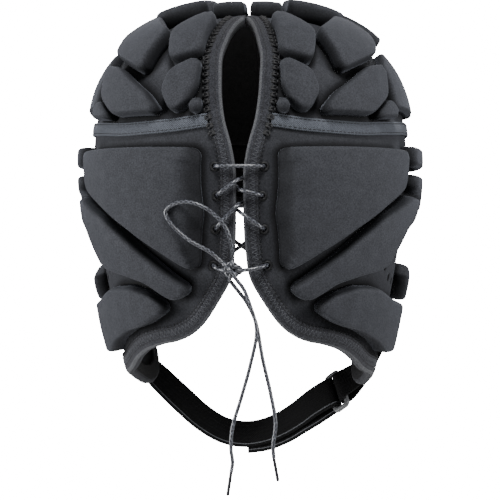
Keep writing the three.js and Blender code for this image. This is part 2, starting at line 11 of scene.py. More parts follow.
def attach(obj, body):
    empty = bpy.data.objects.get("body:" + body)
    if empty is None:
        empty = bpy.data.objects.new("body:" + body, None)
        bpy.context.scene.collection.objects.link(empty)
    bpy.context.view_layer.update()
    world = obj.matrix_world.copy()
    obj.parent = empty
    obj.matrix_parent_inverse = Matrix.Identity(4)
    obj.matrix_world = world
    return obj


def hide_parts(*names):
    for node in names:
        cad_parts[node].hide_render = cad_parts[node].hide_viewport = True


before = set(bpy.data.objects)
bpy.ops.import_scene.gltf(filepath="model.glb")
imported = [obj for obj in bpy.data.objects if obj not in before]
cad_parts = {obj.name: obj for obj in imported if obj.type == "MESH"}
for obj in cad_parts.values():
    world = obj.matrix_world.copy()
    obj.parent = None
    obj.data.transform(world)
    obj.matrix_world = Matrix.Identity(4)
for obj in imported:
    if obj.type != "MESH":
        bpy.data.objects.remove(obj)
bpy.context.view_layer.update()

# ---------- sizes shared with the solids, in millimetres
HALF_WIDTH, BACK, FRONT, CROWN = 82.0, 98.0, 100.0, 80.0
JAW_DROP, JAW_TAPER = 118.0, 0.26
SQUARE, CROWN_SQUARE, TAPER_POWER = 2.2, 2.6, 1.5
SHELL, FIT_GAP = 2.6, 0.75
SKIN_OUT = SHELL + FIT_GAP
BINDING, BINDING_LEG = 0.8, 5.4
REACH = BINDING + FIT_GAP
RIBBON_WIDTH = 6.5
CROWN_PAD, CROWN_SIDE_PAD, CROWN_TOP_PAD, SIDE_PAD, DRAFT = 7.6, 4.8, 9.8, 8.2, 1.4
CROWN_CORNER, SIDE_CORNER = 3.0, 4.0
LACE = 2.0
STRAP_WIDTH, STRAP_THICK, STRAP_LIFT = 19.0, 1.8, 5.4
CHART = HALF_WIDTH + BACK
CENTRE = np.array([0.0, 0.0, -CROWN])
MM = 1000  # millimetres in a metre


# ---------- the head hollow
HALVINGS, SIDE_ROUNDS, BACK_ROUNDS = 34, 6, 12


def direction(around, tilt):
    a, t = np.radians(np.asarray(around, float)), np.radians(np.asarray(tilt, float))
    return np.stack([np.sin(a) * np.sin(t), np.cos(a) * np.sin(t), np.cos(t)], -1)


def hollow_radius(d):
    x, y, z = d[..., 0], d[..., 1], d[..., 2]
    length = np.where(y > 0, BACK, FRONT)
    level = ((abs(x) / HALF_WIDTH) ** SQUARE + (abs(y) / length) ** SQUARE) ** (1 / SQUARE)
    dome = (level ** CROWN_SQUARE + (np.maximum(z, 0) / CROWN) ** CROWN_SQUARE) ** (-1 / CROWN_SQUARE)
    low, high = np.zeros_like(level), 1 / np.maximum(level, 1e-6)
    down = np.maximum(-z, 0) / JAW_DROP
    for _ in range(HALVINGS):
        r = (low + high) / 2
        within = r * level < 1 - JAW_TAPER * (r * down) ** TAPER_POWER
        low, high = np.where(within, r, low), np.where(within, high, r)
    return np.where(z >= 0, dome, low)


def unit(v):
    return v / np.maximum(np.linalg.norm(v, axis=-1, keepdims=True), 1e-12)


def wall(d):
    return d * hollow_radius(d)[..., None] + CENTRE


def outward(d):
    step = 0.004
    east = np.cross([0.0, 0.0, 1.0], d)
    east = unit(np.where(np.linalg.norm(east, axis=-1, keepdims=True) < 1e-4, [1.0, 0.0, 0.0], east))
    north = np.cross(d, east)
    along = [wall(unit(d + axis * step)) - wall(unit(d - axis * step)) for axis in (east, north)]
    return unit(np.cross(along[0], along[1]))


def skin(d, offset):
    return wall(d) + outward(d) * np.asarray(offset, float)[..., None]


# The left half is drawn on a flat stereographic chart round the ear.
def to_chart(d):
    return d[..., 1:] * CHART / (1 + d[..., :1])


def from_chart(p):
    q = p / CHART
    s = (q ** 2).sum(-1, keepdims=True)
    return np.concatenate([1 - s, 2 * q], -1) / (1 + s)


def stretch(p):
    return (1 + (p ** 2).sum(-1) / CHART ** 2) * CHART / (2 * hollow_radius(from_chart(p)))


def chart(rows):
    rows = np.array(rows, float)
    return to_chart(direction(rows[:, 0], rows[:, 1]))


def back_place(side, tilt):
    around = 0.0
    for _ in range(SIDE_ROUNDS):
        level = float(hollow_radius(direction(around, tilt))) * math.sin(math.radians(tilt))
        around = math.degrees(math.asin(side / level))
    return [around, tilt]


def on_back(rows):
    """Places on the back given by x, z and how far outside the hollow's wall they lie."""
    rows = np.array(rows, float)
    d = unit(np.stack([rows[:, 0], np.full(len(rows), BACK), rows[:, 1] + CROWN], -1))
    for _ in range(BACK_ROUNDS):
        p = skin(d, rows[:, 2])
        far = np.linalg.norm(p - CENTRE, axis=-1)
        d = unit(d + np.stack([rows[:, 0] - p[:, 0], 0 * far, rows[:, 1] - p[:, 2]], -1) / far[:, None])
    return skin(d, rows[:, 2]), d


# ---------- lines
def run_along(points):
    """The distance along a line at each of its points."""
    return np.concatenate([[0], np.cumsum(np.linalg.norm(np.diff(points, axis=0), axis=1))])


def at_run(at, run, values):
    return np.stack([np.interp(at, run, values[:, k]) for k in range(values.shape[1])], -1)


def resample(points, step):
    points = np.asarray(points, float)
    run = run_along(points)
    return at_run(np.linspace(0, run[-1], max(2, int(round(run[-1] / step)) + 1)), run, points)


def spline(points, step, power=0.0, fine=24):
    """Catmull-Rom line through points; power 0 is uniform and 0.5 centripetal."""
    p = np.asarray(points, float)
    p = np.concatenate([[2 * p[0] - p[1]], p, [2 * p[-1] - p[-2]]])
    out = []
    for i in range(1, len(p) - 2):
        a, b, c, d = p[i - 1:i + 3]
        k = [max(np.linalg.norm(v), 1e-6) ** power for v in (b - a, c - b, d - c)]
        t1 = ((b - a) / k[0] - (c - a) / (k[0] + k[1]) + (c - b) / k[1]) * k[1]
        t2 = ((c - b) / k[1] - (d - b) / (k[1] + k[2]) + (d - c) / k[2]) * k[1]
        u = np.linspace(0, 1, fine, endpoint=False)[:, None]
        out.append(b + t1 * u + (3 * (c - b) - 2 * t1 - t2) * u ** 2 + (2 * (b - c) + t1 + t2) * u ** 3)
    return resample(np.concatenate(out + [p[-2:-1]]), step)


def line_normals(p, closed=False):
    way = np.roll(p, -1, 0) - np.roll(p, 1, 0) if closed else np.gradient(p, axis=0)
    way = unit(way)
    return np.stack([-way[:, 1], way[:, 0]], -1)


def shifted(p, distance, closed=True):
    return p + line_normals(p, closed) * (distance * stretch(p))[:, None]


def area(p):
    q = np.roll(p, -1, 0)
    return float((p[:, 0] * q[:, 1] - p[:, 1] * q[:, 0]).sum() / 2)


def anticlockwise(p):
    return p if area(p) > 0 else p[::-1]


def rounded(corners, radius, step):
    """A closed chart outline with rounded corners, sampled every step millimetres."""
    most_of_side, corner_points = 0.45, 9
    out, count = [], len(corners)
    for i, corner in enumerate(corners):
        ends = []
        for other in (corners[i - 1], corners[(i + 1) % count]):
            gap = np.linalg.norm(other - corner)
            reach = min(radius * float(stretch(corner)), gap * most_of_side)
            ends.append(corner + (other - corner) * reach / gap)
        u = np.linspace(0, 1, corner_points)[:, None]
        out.append((1 - u) ** 2 * ends[0] + 2 * u * (1 - u) * corner + u ** 2 * ends[1])
    line = np.concatenate(out + [out[0][:1]])
    scale = float(stretch(corners.mean(0)))
    return anticlockwise(resample(line, step * scale)[:-1])


def inside(points, polygon):
    x, y = points[:, :1], points[:, 1:]
    a, b = polygon, np.roll(polygon, -1, 0)
    span = (a[:, 1] > y) != (b[:, 1] > y)
    with np.errstate(divide="ignore", invalid="ignore"):
        cross = x < (b[:, 0] - a[:, 0]) * (y - a[:, 1]) / (b[:, 1] - a[:, 1]) + a[:, 0]
    return (span & cross).sum(1) % 2 == 1


def edge_distance(points, polygon):
    """Distance in millimetres to a closed chart outline, and the index of the nearest side."""
    a, b = polygon, np.roll(polygon, -1, 0)
    best, side, batch = np.empty(len(points)), np.empty(len(points), int), 4000
    for lo in range(0, len(points), batch):
        p = points[lo:lo + batch, None]
        t = np.clip(((p - a) * (b - a)).sum(-1) / np.maximum(((b - a) ** 2).sum(-1), 1e-12), 0, 1)
        gap = np.linalg.norm(p - (a + (b - a) * t[..., None]), axis=-1)
        side[lo:lo + batch] = gap.argmin(1)
        best[lo:lo + batch] = gap.min(1)
    return best / stretch(points), side


def lattice(polygon, spacing):
    """Points of an even triangular lattice over a chart outline."""
    pitch, row_share = spacing * float(stretch(polygon.mean(0))), 0.866
    lo, hi = polygon.min(0), polygon.max(0)
    ys = np.arange(lo[1], hi[1], pitch * row_share)
    rows = []
    for i, y in enumerate(ys):
        xs = np.arange(lo[0] + (i % 2) * pitch / 2, hi[0], pitch)
        rows.append(np.stack([xs, np.full(len(xs), y)], -1))
    grid = np.concatenate(rows)
    return grid[inside(grid, polygon)]


def triangulate(loops, inner):
    """Delaunay triangles over closed chart loops (the first is the outline, the others are holes) and inner points."""
    merge = 1e-5
    points, edges = [], []
    for loop in loops:
        start = len(points)
        points.extend(loop.tolist())
        edges.extend((start + i, start + (i + 1) % len(loop)) for i in range(len(loop)))
    points.extend(inner.tolist())
    got = delaunay_2d_cdt([Vector(p) for p in points], edges, [], 0, merge, True)
    xy = np.array([tuple(v) for v in got[0]])
    faces = np.array([f for f in got[2] if len(f) == 3])
    middle = xy[faces].mean(1)
    keep = inside(middle, loops[0])
    for hole in loops[1:]:
        keep &= ~inside(middle, hole)
    faces = faces[keep]
    a, b, c = xy[faces[:, 0]], xy[faces[:, 1]], xy[faces[:, 2]]
    turn = (b[:, 0] - a[:, 0]) * (c[:, 1] - a[:, 1]) - (b[:, 1] - a[:, 1]) * (c[:, 0] - a[:, 0])
    faces[turn < 0] = faces[turn < 0][:, ::-1]
    return xy, faces


# ---------- meshes
def add_mesh(name, verts, faces, materials, face_slots=None, uv=None, mirror=False):
    verts = np.array(verts, float) / MM
    faces = [tuple(int(i) for i in f) for f in faces]
    if mirror:
        verts[:, 0] *= -1
        faces = [f[::-1] for f in faces]
    mesh = bpy.data.meshes.new(name)
    mesh.from_pydata(verts.tolist(), [], faces)
    mesh.validate()
    for m in materials:
        mesh.materials.append(m)
    if face_slots is not None and len(face_slots) == len(mesh.polygons):
        mesh.polygons.foreach_set("material_index", np.asarray(face_slots, np.int32))
    mesh.polygons.foreach_set("use_smooth", np.full(len(mesh.polygons), True))
    if uv is not None:
        layer = mesh.uv_layers.new(name="run")
        index = np.zeros(len(mesh.loops), np.int32)
        mesh.loops.foreach_get("vertex_index", index)
        layer.data.foreach_set("uv", np.asarray(uv, np.float32)[index].ravel())
    mesh.update()
    obj = bpy.data.objects.new(name, mesh)
    bpy.context.scene.collection.objects.link(obj)
    return obj


def add_piece(name, node, slot, verts, faces, materials, **options):
    obj = add_mesh(name, verts, faces, materials, **options)
    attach(obj, "root")
    if node:
        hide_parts(*([node] if isinstance(node, str) else node))
    return obj


def add_pair(name, node_name, slot, verts, faces, materials, **options):
    """The same piece on both halves, mirrored on the wearer's right."""
    return [add_piece(f"{name}_{side}", node_name and f"{node_name}_{side}", slot, verts, faces, materials,
                      mirror=flip, **options) for side, flip in (("left", False), ("right", True))]


def sweep_faces(rows, cols, ends=True, ring=False):
    """Quads of a closed-section sweep whose points lie row by row. A ring's last row joins its first."""
    i, k = np.meshgrid(np.arange(rows if ring else rows - 1), np.arange(cols), indexing="ij")
    n, j = (k + 1) % cols, (i + 1) % rows
    quads = np.stack([i * cols + k, i * cols + n, j * cols + n, j * cols + k], -1).reshape(-1, 4)
    faces = [tuple(q) for q in quads.tolist()]
    if ends:
        faces.append(tuple(range(cols))[::-1])
        faces.append(tuple((rows - 1) * cols + m for m in range(cols)))
    return faces


def turn_in(count):
    """Even angles round a circle."""
    return np.arange(count) * 2 * math.pi / count


def circle(count):
    turn = turn_in(count)
    return np.stack([np.cos(turn), np.sin(turn)], -1)


def frames(path, up):
    """The side and up ways along a path, carried smoothly."""
    way = unit(np.gradient(path, axis=0))
    side = np.empty_like(path)
    last = np.asarray(up, float)
    for i, t in enumerate(way):
        last = last - t * (last @ t)
        last /= np.linalg.norm(last)
        side[i] = last
    return side, np.cross(way, side)


def tube(path, radius, sides, up=(0.3, 0.2, 0.9), braid=0.0, pitch=2.2, plaits=6):
    """A round tube round a path, with raised plaits if braid is over 0. Returns vertices, faces and run marks."""
    side, up = frames(path, up)
    run = run_along(path)
    turn = turn_in(sides)
    around, along = plaits / 2 * turn[None], 2 * math.pi * run[:, None] / pitch
    r = radius * (1 + braid * (np.sin(around + along) * np.sin(around - along))) * np.ones((len(path), sides))
    end_share, least = 0.8, 0.04
    end = np.clip(np.minimum(run, run[-1] - run) / (radius * end_share), 0, 1)
    r *= np.sqrt(np.clip(1 - (1 - end) ** 2, least, 1))[:, None]
    verts = (path[:, None] + side[:, None] * (r * np.cos(turn))[..., None]
             + up[:, None] * (r * np.sin(turn))[..., None])
    uv = np.stack([np.repeat(run[:, None], sides, 1), np.repeat(turn[None] / (2 * math.pi), len(path), 0)], -1)
    return verts.reshape(-1, 3), sweep_faces(len(path), sides), uv.reshape(-1, 2)


def stitches(starts, ends, normals, radius, rise):
    """Small threads that arch from start to end. Returns vertices and faces."""
    steps = np.array([0.0, 0.16, 0.5, 0.84, 1.0])
    lift = np.array([-0.5, 0.55, 1.0, 0.55, -0.5])
    size = np.array([0.6, 1.0, 1.0, 1.0, 0.6])
    sides = 5
    turn = turn_in(sides)
    way = unit(ends - starts)
    cross = unit(np.cross(way, normals))
    up = np.cross(cross, way)
    base = starts[:, None] + (ends - starts)[:, None] * steps[None, :, None] + normals[:, None] * (
        rise * lift)[None, :, None]
    verts = (base[:, :, None] + cross[:, None, None] * (radius * size[:, None] * np.cos(turn))[None, ..., None]
             + up[:, None, None] * (radius * size[:, None] * np.sin(turn))[None, ..., None])
    one = sweep_faces(len(steps), sides)
    count = len(steps) * sides
    faces = [tuple(j + i * count for j in f) for i in range(len(starts)) for f in one]
    return verts.reshape(-1, 3), faces


# ---------- materials
def new_material(name):
    mat = bpy.data.materials.new(name)
    mat.use_nodes = True
    tree = mat.node_tree
    return mat, tree, tree.nodes["Principled BSDF"]


def node(tree, kind, **values):
    n = tree.nodes.new(kind)
    for key, value in values.items():
        if hasattr(n, key):
            setattr(n, key, value)
        else:
            n.inputs[key.replace("_", " ")].default_value = value
    return n


def ramp(tree, source, stops):
    r = tree.nodes.new("ShaderNodeValToRGB")
    while len(r.color_ramp.elements) < len(stops):
        r.color_ramp.elements.new(0.5)
    for element, (at, colour) in zip(r.color_ramp.elements, stops):
        element.position = at
        element.color = (*colour, 1)
    tree.links.new(source, r.inputs["Fac"])
    return r.outputs["Color"]


def multiplied(tree, a, b):
    m = node(tree, "ShaderNodeMix", data_type="RGBA", blend_type="MULTIPLY")
    m.inputs[0].default_value = 1.0
    tree.links.new(a, m.inputs[6])
    tree.links.new(b, m.inputs[7])
    return m.outputs[2]


def math_node(tree, kind, a, b=None):
    m = tree.nodes.new("ShaderNodeMath")
    m.operation = kind
    for value, key in ((a, 0), (b, 1)):
        if value is None:
            continue
        if isinstance(value, (int, float)):
            m.inputs[key].default_value = value
        else:
            tree.links.new(value, m.inputs[key])
    return m.outputs[0]


def texture(tree, kind, output, **values):
    """A texture on the object's own coordinates."""
    n = node(tree, kind, **values)
    tree.links.new(tree.nodes.new("ShaderNodeTexCoord").outputs["Object"], n.inputs["Vector"])
    return n.outputs[output]


def noise(tree, scale, detail, roughness):
    return texture(tree, "ShaderNodeTexNoise", "Fac", Scale=scale, Detail=detail, Roughness=roughness)


def dressed(material, colour, height, bump, depth, **values):
    """Joins a new material's colour and bump to its shader, and sets the shader's plain values."""
    mat, tree, bsdf = material
    b = node(tree, "ShaderNodeBump", Strength=bump, Distance=depth)
    tree.links.new(colour, bsdf.inputs["Base Color"])
    tree.links.new(height, b.inputs["Height"])
    tree.links.new(b.outputs["Normal"], bsdf.inputs["Normal"])
    for key, value in values.items():
        bsdf.inputs[key.replace("_", " ")].default_value = value
    return mat


def run_marks(tree):
    """The two numbers a mesh stores: the run along and across it, or how far its cloth stands clear of the creases by
    the foam blocks, which sets how much painted shade it gets.
    """
    uv = node(tree, "ShaderNodeUVMap", uv_map="run")
    split = tree.nodes.new("ShaderNodeSeparateXYZ")
    tree.links.new(uv.outputs["UV"], split.inputs[0])
    return split.outputs["X"], split.outputs["Y"]


def cloth(name, low, high, sheen, shade_creases=False):
    """Close-knit cloth: fine grain, faint blotches, a soft nap and, if wanted, painted shade darkening it in the
    creases by the foam blocks.
    """
    material = new_material(name)
    tree, grain, blotch = material[1], 1300, 160
    fine = noise(tree, grain, 3.0, 0.65)
    knit = texture(tree, "ShaderNodeTexVoronoi", "Distance", Scale=grain * 1.3)
    shade = ramp(tree, noise(tree, blotch, 2.0, 0.5), [(0.3, (0.82,) * 3), (0.7, (1.0,) * 3)])
    colour = multiplied(tree, ramp(tree, fine, [(0.3, low), (0.7, high)]), shade)
    if shade_creases:
        # Painted shade: the cloth darkens with the mesh's first run mark, towards the creases at the foam blocks'
        # feet.
        colour = multiplied(tree, colour, ramp(tree, run_marks(tree)[0], [
            (0.0, (0.06,) * 3), (0.45, (0.42,) * 3), (1.0, (1.0,) * 3)]))
    height = math_node(tree, "ADD", fine, math_node(tree, "MULTIPLY", knit, 0.6))
    return dressed(material, colour, height, 0.25, 0.0004, Roughness=0.9, Sheen_Weight=sheen, Sheen_Roughness=0.45,
                   Sheen_Tint=(0.8, 0.85, 1.0, 1), Specular_IOR_Level=0.25)


def ribbed(name, low, high, along=0.9, across=0.55, rough=0.85, heather=0.5, sheen=0.2, spec=0.25):
    """Knit or woven tape: ribs across it, wales along it and mixed pale fibres."""
    material = new_material(name)
    tree = material[1]
    rib, wale = [math_node(tree, "SINE", math_node(tree, "MULTIPLY", mark, 2 * math.pi / pitch))
                 for mark, pitch in zip(run_marks(tree), (along, across))]
    weave = math_node(tree, "MULTIPLY", rib, wale)
    fine = noise(tree, 1700.0, 2.0, 0.7)
    fibres = math_node(tree, "MULTIPLY", math_node(tree, "SUBTRACT", fine, 0.5), 2 * heather)
    level = math_node(tree, "ADD", math_node(tree, "MULTIPLY", weave, 0.25), fibres)
    colour = ramp(tree, math_node(tree, "ADD", level, 0.5), [(0.15, low), (0.85, high)])
    return dressed(material, colour, math_node(tree, "ADD", weave, fine), 0.5, 0.0003, Roughness=rough,
                   Sheen_Weight=sheen, Specular_IOR_Level=spec)


def braided(name, dark, mid, pale):
    """Round braid: crossing plaits, with one pale plait in each set."""
    material = new_material(name)
    tree = material[1]
    u, v = run_marks(tree)
    turn, run = math_node(tree, "MULTIPLY", v, 4.0), math_node(tree, "MULTIPLY", u, 1 / 2.6)
    bands = [math_node(tree, "PINGPONG", math_node(tree, "FRACT", math_node(tree, sign, turn, run)), 0.5)
             for sign in ("ADD", "SUBTRACT")]
    fibres = math_node(tree, "MULTIPLY", noise(tree, 900.0, 2.0, 0.6), 0.5)
    level = math_node(tree, "ADD", math_node(tree, "MAXIMUM", *bands), fibres)
    colour = ramp(tree, level, [(0.35, dark), (0.66, mid), (0.84, pale)])
    return dressed(material, colour, level, 0.2, 0.0002, Roughness=0.3, Specular_IOR_Level=0.9)


def moulded(name, colour, rough):
    material = new_material(name)
    fine = noise(material[1], 700.0, 3.0, 0.6)
    shade = ramp(material[1], fine, [(0.3, tuple(c * 0.85 for c in colour)), (0.7, colour)])
    return dressed(material, shade, fine, 0.12, 0.0002, Roughness=rough)


# The pad and shell cloth carry painted shade in the creases.
PAD_CLOTH = cloth("pad_cloth", (0.026, 0.027, 0.032), (0.062, 0.065, 0.075), sheen=0.12, shade_creases=True)
SHELL_CLOTH = cloth("shell_cloth", (0.024, 0.025, 0.029), (0.056, 0.058, 0.067), sheen=0.1, shade_creases=True)
LINING = cloth("lining_cloth", (0.004, 0.004, 0.0045), (0.012, 0.011, 0.011), sheen=0.05)
EDGE_TAPE = ribbed("edge_tape", (0.009, 0.009, 0.012), (0.072, 0.075, 0.088), heather=1.1, sheen=0.1)
# Painted highlight: a paler copy of the edge tape for the binding's rounded fold, where light catches it.
EDGE_FOLD_HIGHLIGHT = ribbed("edge_fold_highlight", (0.03, 0.031, 0.036), (0.15, 0.155, 0.17), heather=0.9, sheen=0.15)
# Painted shade: a darker copy of the edge tape for the binding's faces that turn in under the cap.
INNER_TAPE_SHADED = ribbed("inner_tape_shaded", (0.006, 0.006, 0.007), (0.022, 0.022, 0.025), heather=0.6, sheen=0.05)
SEAM_TAPE = ribbed("seam_tape", (0.040, 0.044, 0.054), (0.15, 0.165, 0.195), along=1.1, across=1.0, heather=0.6,
                   sheen=0.1)
WEBBING = ribbed("webbing", (0.002, 0.002, 0.002), (0.009, 0.009, 0.010), along=1.2, across=1.4, heather=0.3,
                 rough=0.75, sheen=0.02, spec=0.12)
# Painted highlight: a pale copy of the webbing for a thin sheen line along one edge of the strap.
STRAP_HIGHLIGHT = ribbed("strap_highlight", (0.05, 0.052, 0.06), (0.2, 0.21, 0.23), along=0.8, heather=0.6)
BRAID = braided("braid", (0.014, 0.015, 0.019), (0.05, 0.053, 0.066), (0.36, 0.38, 0.43))
DARK_THREAD = moulded("dark_thread", (0.012, 0.012, 0.014), 0.6)
PALE_THREAD = moulded("pale_thread", (0.115, 0.12, 0.135), 0.6)
TIP = moulded("lace_tip", (0.025, 0.026, 0.03), 0.35)
RING = moulded("ring", (0.15, 0.155, 0.16), 0.4)

# ---------- edges and seams
SLIT = [[35, 1.9], [43, 5], [50.6, 7.5], [57, 9.4], [64, 9.4], [71, 8.9], [77.3, 7.4], [83.5, 4.5], [88, 2.9],
        [92.5, 1.9], [100.5, 1.8], [109, 2], [116, 2.9]]
NAPE = [[4, 122], [8.4, 128], [14, 133.2], [21, 136.3], [29, 137.8], [38, 139.8], [47, 142.6], [58, 146]]
FLAP = [[74, 148.4], [90, 149.8], [104, 150.6], [115, 150.6], [124.4, 148.6], [127, 144]]
FACE = [[123.4, 139.6], [118.6, 133], [115.5, 123], [117, 113], [122.5, 105.5], [133, 100.6], [148, 99.2], [164, 99],
        [179.8, 99]]
SEAM = [[20, 78.6], [36, 78.8], [52, 77.4], [72, 75.6], [92, 75], [112, 75.4], [135, 77], [158, 78.4], [179.8, 79]]
SEAM_TILT, SEAM_HALF, SEAM_CLEAR = 77.4, 7.4, 0.6
COARSE_STEP, FINE_STEP, SEAM_STEP, RIBBON_STEP = 8.0, 0.65, 1.6, 0.8
EYELET_HOLE, VENT_HOLE, HOLE_SIDES = 3.5, 3.6, 16

arch = chart([back_place(*row) for row in ([0.5, 31], [1.6, 31.15], [2.7, 32.5])])
edge = chart([back_place(half + REACH, tilt) for tilt, half in SLIT] + NAPE + FLAP + FACE)
rim = spline(np.concatenate([arch, spline(edge, COARSE_STEP)]), FINE_STEP, fine=16)
seam = spline(chart([back_place(SEAM_HALF + REACH, SEAM_TILT)] + SEAM), SEAM_STEP)
ribbon_line = spline(chart([back_place(SEAM_HALF + REACH + BINDING_LEG + 1, SEAM_TILT)] + SEAM), RIBBON_STEP)
ridge = chart([[180, t] for t in range(71, 0, -3)] + [[0, t] for t in range(1, 27, 3)])
brow_middle = chart([[180, t] for t in range(82, 98, 3)])


def tilt_of(p):
    return np.degrees(np.arccos(from_chart(p)[:, 2]))


rim_step = rim[::3]
early = np.arange(len(rim_step)) < len(rim_step) / 2
upper_rim = rim_step[early & (tilt_of(rim_step) < SEAM_TILT - SEAM_CLEAR)]
lower_rim = rim_step[~early | (tilt_of(rim_step) > SEAM_TILT + SEAM_CLEAR)]
crown_outline = anticlockwise(np.concatenate([upper_rim, seam, ridge]))
side_outline = anticlockwise(np.concatenate([lower_rim, brow_middle[::-1], seam[::-1]]))


def round_hole(d, diameter):
    middle = to_chart(d)
    return middle + circle(HOLE_SIDES) * diameter / 2 * float(stretch(middle))


EYELETS = [[12.2, -81, 1.3], [11.2, -95.5, 1.3], [12, -112, 1.3], [13.5, -130, 1.3]]
VENTS = [[61, 122.4], [68, 126], [76, 127.6], [74, 119.4], [83, 121], [92, 121.4], [80, 113], [90, 113.6],
         [100, 115.4]]
eyelet_ways = on_back(EYELETS)[1]
holes = [round_hole(d, EYELET_HOLE) for d in eyelet_ways] + [round_hole(direction(*v), VENT_HOLE) for v in VENTS]


# ---------- cloth shell
SHELL_LATTICE, EDGE_CLEAR, HOLE_CLEAR, FAR_OFF = 3.0, 1.4, 1.5, 9.0
# Painted shade in the creases on the shell: extra point rings round each block, how far the shade reaches and how it
# fades.
CREASE_SHADE_RINGS, CREASE_SHADE_REACH, CREASE_SHADE_POWER = (0.1, 1.3, 3.4), 3.6, 1.2


def shell(name, node_name, outline, inner_holes, blocks):
    inner = [lattice(outline, SHELL_LATTICE)]
    for block in blocks:
        inner += [shifted(block[::2], -reach) for reach in CREASE_SHADE_RINGS]
    inner = np.concatenate(inner)
    far, _ = edge_distance(inner, outline)
    keep = (far > EDGE_CLEAR) & inside(inner, outline)
    for hole in inner_holes:
        keep &= np.linalg.norm(inner - hole.mean(0), axis=1) > np.linalg.norm(hole[0] - hole.mean(0)) * HOLE_CLEAR
    xy, faces = triangulate([outline] + inner_holes, inner[keep])
    count = len(xy)
    d = from_chart(xy)
    verts = np.concatenate([skin(d, np.zeros(count)), skin(d, np.full(count, SHELL))])
    # Painted shade: the shell cloth darkens towards each foam block's foot, where shade falls in the creases.
    open_way = np.full(count, FAR_OFF)
    for block in blocks:
        open_way = np.minimum(open_way, np.where(inside(xy, block), 0, edge_distance(xy, block)[0]))
    crease_shade = np.clip(open_way / CREASE_SHADE_REACH, 0, 1) ** CREASE_SHADE_POWER
    uv = np.tile(np.stack([crease_shade, 0 * crease_shade], -1), (2, 1))
    half = {(a, b) for f in faces.tolist() for a, b in zip(f, f[1:] + f[:1])}
    rim_edges = [(a, b) for a, b in half if (b, a) not in half]
    out = [tuple(f) for f in (faces + count).tolist()]
    lining = [tuple(f[::-1]) for f in faces.tolist()]
    walls = [(a, b, b + count, a + count) for a, b in rim_edges]
    slots = [0] * len(out) + [1] * len(lining) + [1] * len(walls)
    add_pair(name, node_name, "shell_cloth", verts, out + lining + walls, [SHELL_CLOTH, LINING], face_slots=slots,
             uv=uv)


# ---------- foam blocks
CROWN_PADS = {
    "ridge_back": [[3.8, 24.4], [26, 26], [40, 16.5], [10.4, 7.4]],
    "top_back": [[35, 25.8], [60, 34], [79, 32.5], [66, 13]],
    "upper_back": [[30, 48.5], [53, 36.5], [68, 36], [73, 42.5], [55, 53.3], [32.5, 62]],
    "slit_upper": [[13, 41.8], [16.8, 38.6], [26.8, 49.2], [22, 60], [13.2, 57.8]],
    "slit_lower": [[12.9, 60.6], [20.6, 64], [22.2, 69.6], [18.8, 75], [15.6, 73.4], [12.9, 68]],
    "slit_foot": [[11.6, 71.4], [14, 74.8], [11.2, 75]],
    "lower_back": [[23.5, 75], [29, 69.6], [44, 60.8], [54, 58.6], [49, 68.6], [40, 74.4]],
    "corner": [[43.4, 75], [51, 69.6], [55.6, 73.6]],
    "side_back": [[60, 57.5], [77, 49.4], [92, 50.4], [89, 69.5], [58.5, 70]],
    "ridge_front": [[170, 11], [143, 18], [153, 36], [176, 35]],
    "top_front": [[137, 20], [98, 17.4], [85, 33], [84, 45], [127, 46], [147, 37.5]],
    "side_front": [[98, 51], [126, 51.5], [130, 69.6], [94.5, 70]],
    "brow_inner": [[176.2, 41], [156, 42.6], [153.5, 73], [176.6, 74]],
    "brow_outer": [[150.5, 44.5], [132, 51], [136, 71], [148.5, 72.6]],
}
SIDE_PADS = {
    "nape": [[11.4, 86], [59, 84.8], [57, 96], [46, 101.4], [34, 107.8], [23, 114], [15, 118.4], [12.8, 118.6],
             [11, 104]],
    "sweep": [[66, 99.8], [80, 100.6], [72, 107], [63, 109.6], [55.5, 116], [50, 120.4], [38, 121.4], [29, 122.8],
              [20, 127], [15.4, 124.6], [27, 118], [36.5, 112], [47, 105.8]],
    "jaw": [[24, 129.6], [29, 126.9], [37.5, 125.6], [48, 126.8], [60, 131], [80, 134], [86, 144.4], [68, 143.4],
            [54, 139.2], [42, 135.6], [32, 133.2]],
    "temple_upper": [[66, 83], [112, 83.5], [114, 88.6], [67, 88.4]],
    "temple_lower": [[69.5, 92.4], [111, 92.6], [106, 103], [93, 103.6], [85, 98.2], [70, 96.2]],
    "cheek": [[86, 127.2], [106, 122.4], [110, 131.2], [92, 132.6]],
    "brow": [[122, 84.6], [176.6, 85.6], [176.6, 92.6], [131, 93], [123, 91.4]],
}
CROWN_HEIGHTS = {"side_back": CROWN_SIDE_PAD, "side_front": CROWN_SIDE_PAD, "top_back": CROWN_TOP_PAD,
                 "top_front": CROWN_TOP_PAD}
OUTLINE_STEP, SOFT_EDGE, EDGE_POWER = 1.5, 2.4, 3.0
SHOULDER_RINGS = (0.12, 0.32, 0.6, 0.95, 1.4, 1.9, 2.5, 3.3)
PAD_LATTICE, LATTICE_CLEAR = 2.6, 4.2
UNDER_LATTICE, UNDER_CLEAR, UNDER_LIFT = 7.0, 3.0, 0.05
SWELL, SWELL_START, SWELL_REACH = 0.5, 2.5, 7
SLOPE, SLOPE_AROUND, SLOPE_FADE = 7.5, 14.0, 1.2


def foot_outline(corners, radius):
    return shifted(rounded(chart(corners), radius, OUTLINE_STEP), -DRAFT)


shell("shell_crown", "crown_panel", crown_outline, [], [foot_outline(c, CROWN_CORNER) for c in CROWN_PADS.values()])
shell("shell_side", "side_panel", side_outline, holes, [foot_outline(c, SIDE_CORNER) for c in SIDE_PADS.values()])


